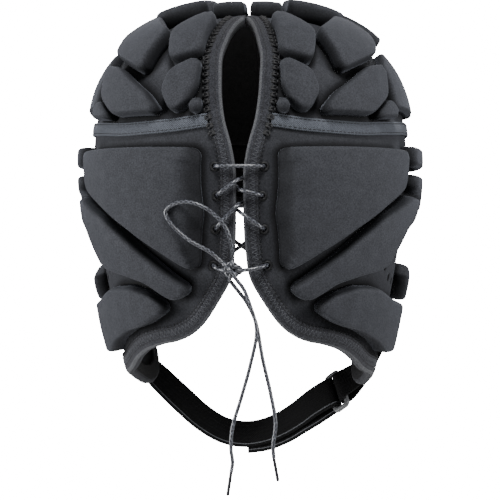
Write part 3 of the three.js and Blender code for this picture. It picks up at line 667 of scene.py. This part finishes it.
def pad(name, node_name, corners, height, radius, wide=None):
    """A foam block under stretched cloth: steep walls, a soft shoulder and a faint crown, with painted shade darkening
    the walls towards their foot.
    """
    outline = foot_outline(corners, radius)
    rings = []
    for inset in SHOULDER_RINGS:
        ring = shifted(outline, inset)
        far, _ = edge_distance(ring, outline)
        rings.append(ring[(far > inset - 0.05) & inside(ring, outline)])
    grid = lattice(outline, PAD_LATTICE)
    far, _ = edge_distance(grid, outline)
    rings.append(grid[far > LATTICE_CLEAR])
    xy, faces = triangulate([outline], np.concatenate(rings))
    far, side = edge_distance(xy, outline)
    far[:len(outline)] = np.where(far[:len(outline)] < 1e-4, 0, far[:len(outline)])
    width = np.full(len(xy), SOFT_EDGE) if wide is None else wide(outline)[side]
    x = np.clip(far / width, 0, 1)
    rise = (1 - (1 - x) ** EDGE_POWER) ** (1 / EDGE_POWER)
    rise = np.where(width > SOFT_EDGE + 0.1, 0.35 * rise + 0.65 * x * x * (3 - 2 * x), rise)
    swell = SWELL * (1 - np.exp(-np.maximum(far - SWELL_START, 0) / SWELL_REACH))
    foot = SHELL + UNDER_LIFT
    tops = foot + (SKIN_OUT + height - foot) * rise + swell
    # Painted shade: the walls darken towards their foot, and the lower part of a wide slope, such as the nape's, is
    # darkened too.
    crease_shade = np.maximum(np.clip(rise / 0.95, 0, 1) ** 2.2, np.clip(far / 1.8, 0, 0.45))
    count, ring_count = len(xy), len(outline)
    low_grid = lattice(outline, UNDER_LATTICE)
    far_low, _ = edge_distance(low_grid, outline)
    low_xy, low_faces = triangulate([outline], low_grid[far_low > UNDER_CLEAR])
    under = skin(from_chart(low_xy[ring_count:]), np.full(len(low_xy) - ring_count, foot))
    verts = np.concatenate([skin(from_chart(xy), tops), under])
    crease_shade = np.concatenate([crease_shade, np.zeros(len(under))])
    uv = np.stack([crease_shade, 0 * crease_shade], -1)
    at = np.arange(len(low_xy))
    shift = np.where(at < ring_count, at, at - ring_count + count)
    low = [tuple(int(shift[i]) for i in f[::-1]) for f in low_faces.tolist()]
    all_faces = [tuple(f) for f in faces.tolist()] + low
    for obj in add_pair(name, node_name, "padding", verts, all_faces, [PAD_CLOTH], uv=uv):
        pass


def nape_width(outline):
    """The nape block's slope beside the slit is wide; its other walls are steep."""
    d = from_chart(outline)
    around = np.degrees(np.arctan2(d[:, 0], d[:, 1]))
    return SOFT_EDGE + SLOPE * np.clip((SLOPE_AROUND - around) / SLOPE_FADE, 0, 1)


for pad_name, corners in CROWN_PADS.items():
    pad(f"foam_{pad_name}", f"crown_pad_{pad_name}", corners, CROWN_HEIGHTS.get(pad_name, CROWN_PAD), CROWN_CORNER)
for pad_name, corners in SIDE_PADS.items():
    pad(f"foam_side_{pad_name}", f"side_pad_{pad_name}", corners, SIDE_PAD, SIDE_CORNER,
        nape_width if pad_name == "nape" else None)


# ---------- edge binding and its stitches
def tape(line, section, wave=0.0):
    """A tape that follows a chart line. The section gives distance to the left of the line and from the wall."""
    normals = line_normals(line) * stretch(line)[:, None]
    section = np.array(section, float)
    count = len(section)
    place = line[:, None] + normals[:, None] * section[None, :, :1]
    off = np.repeat(section[None, :, 1], len(line), 0) + wave
    verts = skin(from_chart(place.reshape(-1, 2)), off.reshape(-1))
    middle = skin(from_chart(line), np.full(len(line), SKIN_OUT))
    run, across = run_along(middle), run_along(section)
    uv = np.stack([np.repeat(run[:, None], count, 1), np.repeat(across[None], len(line), 0)], -1).reshape(-1, 2)
    return verts, sweep_faces(len(line), count), uv, run


rim_back = rim[::-1]
SECTION = [[5.2, -0.15], [5.45, -0.6], [5.3, -1.25], [4.6, -1.5], [3, -1.55], [1, -1.6], [-0.4, -1.5], [-1.2, -0.9],
           [-1.6, 0.1], [-1.72, 1.3], [-1.6, 2.5], [-1.2, 3.4], [-0.4, 3.95], [0.8, 4.15], [2.2, 4.0], [3.4, 4.1],
           [4.6, 4.05], [5.35, 3.75], [5.65, 3.2], [5.4, 2.7], [3.0, 2.68], [0.3, 2.66], [0.05, 1.3], [0.3, -0.08]]
PITCH, STITCH_ROWS, PULL_WIDTH, PULL_DEPTH, OUTER_FACE = 2.5, (1.2, 4.7), 0.5, 0.16, 3.5
# Section strips that get the darker inner copy of the tape (painted shade) and the paler fold copy (painted
# highlight).
INNER_SHADE_STRIPS, FOLD_HIGHLIGHT_STRIPS = [0, 1, 2, 3, 4, 5, 22, 23], [10, 11]
left_of, above = np.array(SECTION).T
rim_run = run_along(skin(from_chart(rim_back), np.full(len(rim_back), SKIN_OUT)))
pull = sum(np.exp(-((left_of - row) / PULL_WIDTH) ** 2) for row in STITCH_ROWS) * (above > OUTER_FACE)
dimple = -PULL_DEPTH * (0.55 + 0.45 * np.cos(2 * math.pi * rim_run / PITCH))[:, None] * pull[None]
verts, faces, uv, _ = tape(rim_back, SECTION, dimple)
slots = np.zeros(len(faces), int)
strips = np.arange(len(SECTION))
strips = np.isin(strips, INNER_SHADE_STRIPS) + 2 * np.isin(strips, FOLD_HIGHLIGHT_STRIPS)
slots[:(len(rim_back) - 1) * len(SECTION)] = np.tile(strips, len(rim_back) - 1)
add_pair("binding", "edge_binding", "edge_tape", verts, faces, [EDGE_TAPE, INNER_TAPE_SHADED, EDGE_FOLD_HIGHLIGHT], face_slots=slots,
         uv=uv)


def rows_on(line, run, offsets, level):
    """Points at given distances along a chart line and to its left, with the way out there."""
    normals = line_normals(line) * stretch(line)[:, None]
    at, left = offsets[:, 0], offsets[:, 1]
    d = from_chart(at_run(at, run, line) + at_run(at, run, normals) * left[:, None])
    return skin(d, np.full(len(d), float(level))), outward(d)


def stitch_rows(name, slot, line, run, rows, level, radius, rise, material, start, stop, pitch=PITCH, uneven=0.0):
    """rows lists, for one repeat, each thread as (start along, start left, end along, end left) in millimetres."""
    base = np.arange(start, stop, pitch)
    base = base + np.random.default_rng(5).normal(0, uneven, len(base))
    first, last = [np.concatenate([np.stack([base + row[k], np.full(len(base), row[k + 1])], -1) for row in rows])
                   for k in (0, 2)]
    starts, normals = rows_on(line, run, first, level)
    ends, _ = rows_on(line, run, last, level)
    verts, faces = stitches(starts, ends, normals, radius, rise)
    add_pair(name, None, slot, verts, faces, [material])


rim_end = rim_run[-1]
lock = rim_end - 90  # where the overlock round the crown slit begins
for name, threads, level, radius, rise, material, start, stop, options in (
        ("thread", [(0.2, 1.2, 2.2, 1.2), (0.2, 4.7, 2.2, 4.7)], 4.06, 0.17, 0.14, DARK_THREAD, 2, rim_end - 4, {}),
        ("zigzag", [(0.0, 1.5, 1.25, 4.4), (1.25, 4.4, 2.5, 1.5)], 4.03, 0.13, 0.12, PALE_THREAD, 2, rim_end - 92, {}),
        ("loops", [(0.9, 5.0, 1.5, 6.5)], 3.5, 0.24, 0.3, DARK_THREAD, 2, lock, {}),
        ("overlock", [(-0.2, 3.7, -1.2, 7.0), (0.2, 3.7, 1.2, 7.0), (-1.1, 6.8, 1.1, 6.8), (-0.9, 4.9, 0.9, 4.9)],
         3.75, 0.6, 0.75, DARK_THREAD, lock, rim_end - 3, {"pitch": 3.7, "uneven": 0.3})):
    stitch_rows(f"binding_{name}", "edge_tape", rim_back, rim_run, threads, level, radius, rise, material, start, stop,
                **options)

# ---------- seam ribbon
w = RIBBON_WIDTH / 2
right_side = [[x, SKIN_OUT + z] for x, z in ((w, -0.6), (w + 0.12, -0.1), (w, 0.55), (w - 0.5, 0.8), (w - 1.0, 0.62),
                                             (w - 1.6, 0.85), (0.6, 0.95))]
left_side = [[-x, z] for x, z in right_side[::-1]]
RIBBON = left_side[-1:] + right_side + left_side[:-1]
verts, faces, uv, ribbon_run = tape(ribbon_line, RIBBON)
add_pair("ribbon", "seam_ribbon", "seam_tape", verts, faces, [SEAM_TAPE], uv=uv)
stitch_rows("ribbon_thread", "seam_tape", ribbon_line, ribbon_run,
            [(0.2, w - 1.0, 2.1, w - 1.0), (0.2, 1.0 - w, 2.1, 1.0 - w)],
            SKIN_OUT + 0.74, 0.17, 0.12, DARK_THREAD, 1, ribbon_run[-1] - 3)

# ---------- eyelet rings: near-black rings in the eyelet holes, painted shade for the dark inside of the holes
EYELET = np.array([[0.75, 0.2], [0.75, 0.7], [1.1, 1.3], [1.1, 2.9], [1.5, 3.3], [2.1, 3.25], [2.45, 2.8], [2.45, 2.5],
                   [1.72, 2.4], [1.72, 0.2]])
EYELET_SIDES = 20
verts, faces = [], []
for d in eyelet_ways:
    middle, start = to_chart(d), sum(len(v) for v in verts)
    place = middle + circle(EYELET_SIDES)[None] * (EYELET[:, None, :1] * float(stretch(middle)))
    verts.append(skin(from_chart(place.reshape(-1, 2)), np.repeat(EYELET[:, 1], EYELET_SIDES)))
    faces += [tuple(i + start for i in q) for q in sweep_faces(len(EYELET), EYELET_SIDES, ends=False, ring=True)]
# Painted shade: the rings' near-black thread colour stands in for the shade inside the eyelet holes.
add_pair("eyelet_shade_rings", None, "shell_cloth", np.concatenate(verts), faces, [DARK_THREAD])

# ---------- lace
LACE_STOPS = [[13.5, -130, -5], [-12, -112, 7], [0, -103.6, -5], [11.2, -95.5, 7], [0, -87.2, -5], [-12.2, -81, 6.8],
              [12.2, -81, -5], [0, -92.6, 7], [-11.2, -95.5, -5], [0, -99.4, 7], [12, -112, -7.8], [-13.5, -130, 0]]
LACE_START = [[9.6, -132.3, 8.5], [12.2, -131.2, 7.2], [13.3, -130.3, 4.4]]
LACE_FINISH = [[-12.9, -130.3, 4.8], [-10, -131.2, 7.4], [-6, -132.2, 8.4], [-2.9, -132.5, 8.5]]
KNOT = [3.4, -132.5, 8.6]
LOOP = [[8.2, -129, 9.6], [14.3, -123.6, 12.4], [24.8, -117.6, 13.5], [34.6, -108.6, 13.5], [36.6, -103.6, 13.5],
        [33, -100.2, 13.5], [27, -98.8, 13.5], [19.3, -100.3, 13.5], [11.8, -105.2, 13], [6.4, -111.7, 12],
        [3.9, -119.6, 10.4], [3.3, -127.4, 9]]
END_LEFT = [[1.6, 99.6, -137.2], [-1.8, 100.4, -141.4], [-4.8, 100.8, -148.4], [-8.5, 100.4, -162.1],
            [-5.5, 100, -179.4], [-1, 100, -195.7], [3.6, 100, -211.6], [4.2, 100, -221.5], [3.4, 100, -228],
            [4.2, 100, -233.6]]
END_RIGHT = [[5.2, 97.8, -137.5], [1.6, 97.2, -142], [-3.4, 97, -148.6], [-7.8, 97, -158], [-11.4, 97, -176.9],
             [-15.4, 97, -194.2], [-17.8, 97, -209], [-16.6, 97, -220], [-17, 97, -226.6]]
TIP_LEFT = [[4.05, 100, -232.5], [5.9, 100, -244.7]]
TIP_RIGHT = [[-16.85, 97, -225.5], [-19.1, 97, -237.8]]
LACE_STEP, TIP_STEP, TIP_RADIUS, LACE_SIDES, BRAID_RISE = 0.42, 0.5, 0.85, 14, 0.06
HOLE_OUT, HOLE_IN, HOLE_NEAR, BAR_NEAR = 5.2, -3, 0.9, 3.6


def lace_route():
    rows = list(LACE_START)
    for i, (x, z, level) in enumerate(LACE_STOPS):
        rows.append([x, z, SHELL / 2])
        if not level:
            continue
        ox, oz = LACE_STOPS[i + 1][:2]
        length = math.hypot(ox - x, oz - z)
        near = HOLE_OUT if level > 0 else HOLE_IN
        for far, at in ((HOLE_NEAR, near), (BAR_NEAR, level), (length - BAR_NEAR, level), (length - HOLE_NEAR, near)):
            rows.append([x + (ox - x) * far / length, z + (oz - z) * far / length, at])
    return rows + LACE_FINISH


def lace(name, node_name, points):
    path = spline(points, LACE_STEP, power=0.5)
    verts, faces, uv = tube(path, LACE / 2, LACE_SIDES, braid=BRAID_RISE)
    return add_piece(name, node_name, "lace_braid", verts, faces, [BRAID], uv=uv), path


lace("lace_crossings", "lacing", on_back(lace_route())[0])


def tip(name, node_name, points):
    verts, faces, uv = tube(spline(points, TIP_STEP), TIP_RADIUS, LACE_SIDES)
    return add_piece(name, node_name, "lace_tip", verts, faces, [TIP], uv=uv)


tips = [tip("tip_left", "lace_tip_left", TIP_LEFT), tip("tip_right", "lace_tip_right", TIP_RIGHT)]
obj, path = lace("bow_loop", "lace_loop", on_back(LOOP)[0])
obj, path = lace("free_end_left", "lace_end_left", np.array(END_LEFT))
obj, path = lace("free_end_right", "lace_end_right", np.array(END_RIGHT))

# The knot is a tight overhand turn with one wrap across it.
knot_at, knot_way = on_back([KNOT])
knot_out = outward(knot_way)[0]
knot_side = unit(np.cross([0.0, 0.0, 1.0], knot_out))
knot_up = np.cross(knot_out, knot_side)
KNOT_STEP, TURN_LONG, TURN_HIGH, TURN_WAVE, TURN_DIP = 0.4, 2.9, 2.3, 1.35, 1.2
WRAP_WIDE, WRAP_DEEP, WRAP_MIDDLE, WRAP_PITCH = 3.0, 2.7, 3.6, 0.28
STRAND_LIFT, STRAND_SHARES = 1.6, np.linspace(-0.16, 0.8, 19)
t = np.linspace(0, 2 * math.pi, 150)[:-1]
turn = np.stack([(TURN_LONG + TURN_WAVE * np.cos(3 * t)) * np.cos(2 * t),
                 (TURN_HIGH + TURN_DIP * np.cos(3 * t)) * np.sin(2 * t), TURN_WAVE * np.sin(3 * t)], -1)
loop_path = knot_at[0] + turn[:, :1] * knot_side + turn[:, 1:2] * knot_up + turn[:, 2:] * knot_out
loop_path = np.concatenate([loop_path, loop_path[:1]])
wrap_turn = np.linspace(0.1, 2 * math.pi + 0.9, 90)
wrap_way = unit(knot_side * 0.75 + knot_up * 0.66)
wrap_path = (knot_at[0] + np.outer(WRAP_WIDE * np.cos(wrap_turn), np.cross(knot_out, wrap_way))
             + np.outer(WRAP_DEEP * np.sin(wrap_turn), knot_out)
             + np.outer((wrap_turn - WRAP_MIDDLE) * WRAP_PITCH, wrap_way))
strands = [loop_path, wrap_path]
for point in (on_back([LACE_START[0]])[0][0], on_back([LACE_FINISH[-1]])[0][0], on_back([LOOP[0]])[0][0],
              on_back([LOOP[-1]])[0][0], np.array(END_LEFT[0]), np.array(END_RIGHT[0])):
    gap = point - knot_at[0]
    strands.append(np.array([point - gap * u + knot_out * max(0.0, STRAND_LIFT * math.sin(math.pi * u))
                             for u in STRAND_SHARES]))
parts = [tube(resample(p, KNOT_STEP), LACE / 2, LACE_SIDES, up=(0.3, 0.9, 0.2), braid=BRAID_RISE) for p in strands]
faces, shift = [], 0
for part in parts:
    faces += [tuple(i + shift for i in f) for f in part[1]]
    shift += len(part[0])
add_piece("knot", "lace_knot", "lace_braid", np.concatenate([p[0] for p in parts]), faces, [BRAID],
          uv=np.concatenate([p[2] for p in parts]))

# ---------- chin strap
ON_FLAP = [[98, 137], [107, 139.8], [115, 142.6], [121.5, 145], [127, 147.4]]
HANG = [([52, -47.4, -198.4], [-0.2, -0.7, 0.68]), ([42, -52.4, -208.6], [-0.26, -0.69, 0.66]),
        ([31.4, -56.6, -218.6], [-0.2, -0.7, 0.68]), ([19, -60.6, -226.4], [-0.1, -0.71, 0.69]),
        ([7, -62, -228.7], [0, -0.71, 0.7]), ([-4, -61, -227], [0.1, -0.71, 0.69]),
        ([-14.4, -58.6, -222.6], [0.2, -0.7, 0.68]), ([-24, -55.4, -216.4], [0.3, -0.69, 0.65]),
        ([-32.6, -51.6, -209.6], [0.35, -0.68, 0.63])]
RING_AT, RING_RUN, RING_ACROSS = [-46.2, -48, -202.9], [-0.74, 0.35, 0.57], [0.37, -0.68, 0.62]
TAB = [[107, 139.8], [115, 142.6], [121.5, 145], [128, 147.8]]
RING_LENGTH, RING_WIDTH, RING_BAR, RING_THICK, RING_CORNER, FOLD = 26.0, 11.0, 2.4, 2.6, 1.8, 3.0
FOLD_CLEAR, TAIL_GAP, TAIL_START, TAIL_SHIFT, TAB_LIFT = 0.42, 0.8, 1.6, 3.0, 2.0
TAB_WIDTH, TAB_THICK, WIDTH_WEIGHT = STRAP_WIDTH - 1, 1.4, 30
BAND_STEP, RIB_PITCH, RIB_RISE, HIGHLIGHT_FROM_EDGE, HIGHLIGHT_HALF = 0.9, 2.9, 0.06, 1.6, 0.55
BOX_FROM_EDGE, BOX_STITCH, BOX_FROM_END, BOX_LENGTH = 2.6, 2.3, 2.5, 17


def on_flap(places, offset, side):
    mirror = np.array([side, 1, 1])
    d = direction(*np.array(places, float).T)
    points = skin(d, np.full(len(d), float(offset))) * mirror
    out = outward(d) * mirror
    rows = []
    for i, at in enumerate(points):
        run = points[min(i + 1, len(points) - 1)] - points[max(i - 1, 0)]
        rows.append((at, unit(np.cross(run, out[i]) * side)))
    return rows


def round_bar(middle, way, out, radius, across):
    return [(middle + way * radius * math.cos(a) + out * radius * math.sin(a), across)
            for a in np.radians([-90, -45, 0, 45, 90])]


ring_at = np.array(RING_AT, float)
ring_run = unit(np.array(RING_RUN, float))
ring_across = np.array(RING_ACROSS, float)
ring_across = unit(ring_across - ring_run * (ring_across @ ring_run))
ring_out = np.cross(ring_across, ring_run)
fold_reach = (RING_WIDTH - RING_BAR) / 2 - FOLD_CLEAR
hang = [(np.array(at, float), np.array(across, float)) for at, across in HANG]
tail = []
for i, (at, across) in enumerate(hang[4:][::-1]):
    square = unit(across)
    run = unit(ring_run - square * (ring_run @ square))
    out = unit(np.cross(across, run))
    lift = STRAP_THICK + TAIL_GAP + (0 if i else TAIL_START)
    tail.append((at + out * lift - across * TAIL_SHIFT, across))
strap_rows = (on_flap(ON_FLAP, STRAP_LIFT, 1) + hang
              + round_bar(ring_at - ring_run * fold_reach, ring_run, ring_out, FOLD, ring_across) + tail)
tab_rows = (on_flap(TAB, STRAP_LIFT, -1)
            + round_bar(ring_at + ring_run * fold_reach, -ring_run, ring_out, FOLD, ring_across)
            + on_flap(TAB, STRAP_LIFT + TAB_LIFT, -1)[::-1])


def band_line(rows, step):
    """The centre line of a band and the way its width runs."""
    joined = np.array([np.concatenate([at, unit(across) * WIDTH_WEIGHT]) for at, across in rows])
    fine = spline(joined, step, power=0.5)
    line = fine[:, :3]
    way = unit(np.gradient(line, axis=0))
    across = fine[:, 3:]
    across = unit(across - way * (across * way).sum(1, keepdims=True))
    return line, across, np.cross(way, across)


def band_section(width, thick):
    """Half round selvedges and shallow ribs on both faces, anticlockwise from the lower face's left end."""
    x = np.linspace(-width / 2 + 0.5, width / 2 - 0.5, 27)
    rib = RIB_RISE * np.cos((x + width / 2) * 2 * math.pi / RIB_PITCH)
    ends = [[width / 2 - 0.15, -thick * 0.38], [width / 2, 0], [width / 2 - 0.15, thick * 0.38]]
    top = np.stack([x[::-1], thick / 2 - RIB_RISE + rib[::-1]], -1)
    bottom = np.stack([x, -thick / 2 + RIB_RISE - rib], -1)
    back = [[-width / 2 + 0.15, thick * 0.38], [-width / 2, 0], [-width / 2 + 0.15, -thick * 0.38]]
    return np.concatenate([bottom, ends, top, back])


def band(name, node_name, rows, width, thick, highlight_at=None):
    line, across, up = band_line(rows, BAND_STEP)
    section = band_section(width, thick)
    count = len(section)
    verts = line[:, None] + across[:, None] * section[None, :, :1] + up[:, None] * section[None, :, 1:]
    run = run_along(line)
    uv = np.stack([np.repeat(run[:, None], count, 1), np.repeat(section[None, :, 0], len(line), 0)], -1)
    faces = sweep_faces(len(line), count)
    slots = np.zeros(len(faces), int)
    if highlight_at is not None:
        # Painted highlight: a thin strip of faces near one edge gets the pale material, standing for a sheen line.
        middle = (section[:, 0] + np.roll(section[:, 0], -1)) / 2
        pale = abs(middle - highlight_at) < HIGHLIGHT_HALF
        slots[:(len(line) - 1) * count] = np.tile(pale, len(line) - 1)
    add_piece(name, node_name, "webbing", verts.reshape(-1, 3), faces, [WEBBING, STRAP_HIGHLIGHT], face_slots=slots,
              uv=uv.reshape(-1, 2))
    return line, across, up, run


strap = band("strap", "chin_strap", strap_rows, STRAP_WIDTH, STRAP_THICK, -STRAP_WIDTH / 2 + HIGHLIGHT_FROM_EDGE)
tab = band("ring_tab", "strap_tab", tab_rows, TAB_WIDTH, TAB_THICK)


def box_stitch(name, webbing, first, last, width, thick):
    """A sewn box with a cross in it on the outer face of a band."""
    line, across, up, run = webbing
    half = width / 2 - BOX_FROM_EDGE
    path = resample([[first, -half], [last, -half], [last, half], [first, half], [first, -half], [last, half],
                     [last, -half], [first, half]], BOX_STITCH)
    ends = []
    for share in (0.1, 0.9):
        at = path[:-1] + np.diff(path, axis=0) * share
        spot, side, out = [at_run(at[:, 0], run, v) for v in (line, across, up)]
        out = unit(out) * np.sign(((spot - CENTRE) * out).sum(1))[:, None]
        ends.append(spot + unit(side) * at[:, 1:] + out * thick / 2)
    verts, faces = stitches(ends[0], ends[1], out, 0.17, 0.16)
    add_piece(name, None, "webbing", verts, faces, [PALE_THREAD])


box_stitch("strap_sewing", strap, BOX_FROM_END, BOX_LENGTH, STRAP_WIDTH, STRAP_THICK)
box_stitch("tab_sewing", tab, tab[3][-1] - BOX_LENGTH, tab[3][-1] - BOX_FROM_END, TAB_WIDTH, TAB_THICK)

# ---------- ring
RING_STEP, RING_SIDES, RING_POWER = 0.7, 16, 0.55
path = []
for cx, cy, first in ((1, -1, -90), (1, 1, 0), (-1, 1, 90), (-1, -1, 180)):
    for a in np.radians(np.linspace(first, first + 90, 10)):
        reach = (np.array([RING_LENGTH, RING_WIDTH]) - RING_BAR) / 2 - RING_CORNER
        path.append([cx * reach[0] + RING_CORNER * math.cos(a), cy * reach[1] + RING_CORNER * math.sin(a)])
path = resample(np.array(path + path[:1]), RING_STEP)[:-1]
normal = -line_normals(path, True)
turn = circle(RING_SIDES)
lobe = np.sign(turn) * ([RING_BAR / 2, RING_THICK / 2] * abs(turn) ** RING_POWER)
flat = path[:, None] + normal[:, None] * lobe[None, :, :1]
verts = ring_at + flat[..., :1] * ring_across + flat[..., 1:] * ring_run + lobe[None, :, 1:] * ring_out
add_piece("ring", "strap_ring", "ring_plastic", verts.reshape(-1, 3),
          sweep_faces(len(path), RING_SIDES, ends=False, ring=True), [RING])

# ---------- floor, light and camera
floor_mat, _, floor_bsdf = new_material("floor_white")
floor_bsdf.inputs["Base Color"].default_value = (0.85, 0.85, 0.85, 1)
floor_bsdf.inputs["Roughness"].default_value = 0.9
bpy.ops.mesh.primitive_circle_add(vertices=96, radius=0.5, fill_type="NGON", location=(0, 0, -0.55))
floor = bpy.context.object
floor.name = "floor"
floor.data.materials.append(floor_mat)

world = bpy.data.worlds.new("studio")
bpy.context.scene.world = world
world.use_nodes = True
background = world.node_tree.nodes["Background"]
background.inputs["Color"].default_value = (1, 1, 1, 1)
rays = node(world.node_tree, "ShaderNodeLightPath")
strength = node(world.node_tree, "ShaderNodeMapRange", To_Min=0.2, To_Max=22.0)
world.node_tree.links.new(rays.outputs["Is Camera Ray"], strength.inputs["Value"])
world.node_tree.links.new(strength.outputs["Result"], background.inputs["Strength"])


def area_light(name, place, target, size, power):
    data = bpy.data.lights.new(name, "AREA")
    data.shape = "DISK"
    data.size = size
    data.energy = power
    lamp = bpy.data.objects.new(name, data)
    lamp.location = place
    lamp.rotation_euler = (Vector(target) - Vector(place)).to_track_quat("-Z", "Y").to_euler()
    bpy.context.scene.collection.objects.link(lamp)


area_light("key", (-0.08, 0.88, 0.95), (0, 0, -0.1), 0.5, 17)
area_light("left_rim", (0.9, 0.3, -0.15), (0, 0, -0.15), 0.4, 8)
area_light("right_rim", (-0.9, 0.25, 0.0), (0, 0, -0.15), 0.4, 5.5)
area_light("front", (0, -1.0, 0.5), (0, 0, -0.1), 0.8, 5)

YAW, AWAY = math.radians(3.3), 1.1
FRAME_PIXELS, LENS_PIXELS, SHIFT_PIXELS = 500, 2014.65, -1
back_way = Vector((-math.sin(YAW), math.cos(YAW), 0))
target = Vector((0, 0, -0.12256))
camera_data = bpy.data.cameras.new("camera")
camera_data.sensor_width = 36
camera_data.lens = camera_data.sensor_width * LENS_PIXELS / FRAME_PIXELS
camera_data.shift_x = SHIFT_PIXELS / FRAME_PIXELS
camera = bpy.data.objects.new("camera", camera_data)
camera.location = target + back_way * AWAY
camera.rotation_euler = (-back_way).to_track_quat("-Z", "Y").to_euler()
bpy.context.scene.collection.objects.link(camera)
bpy.context.scene.camera = camera
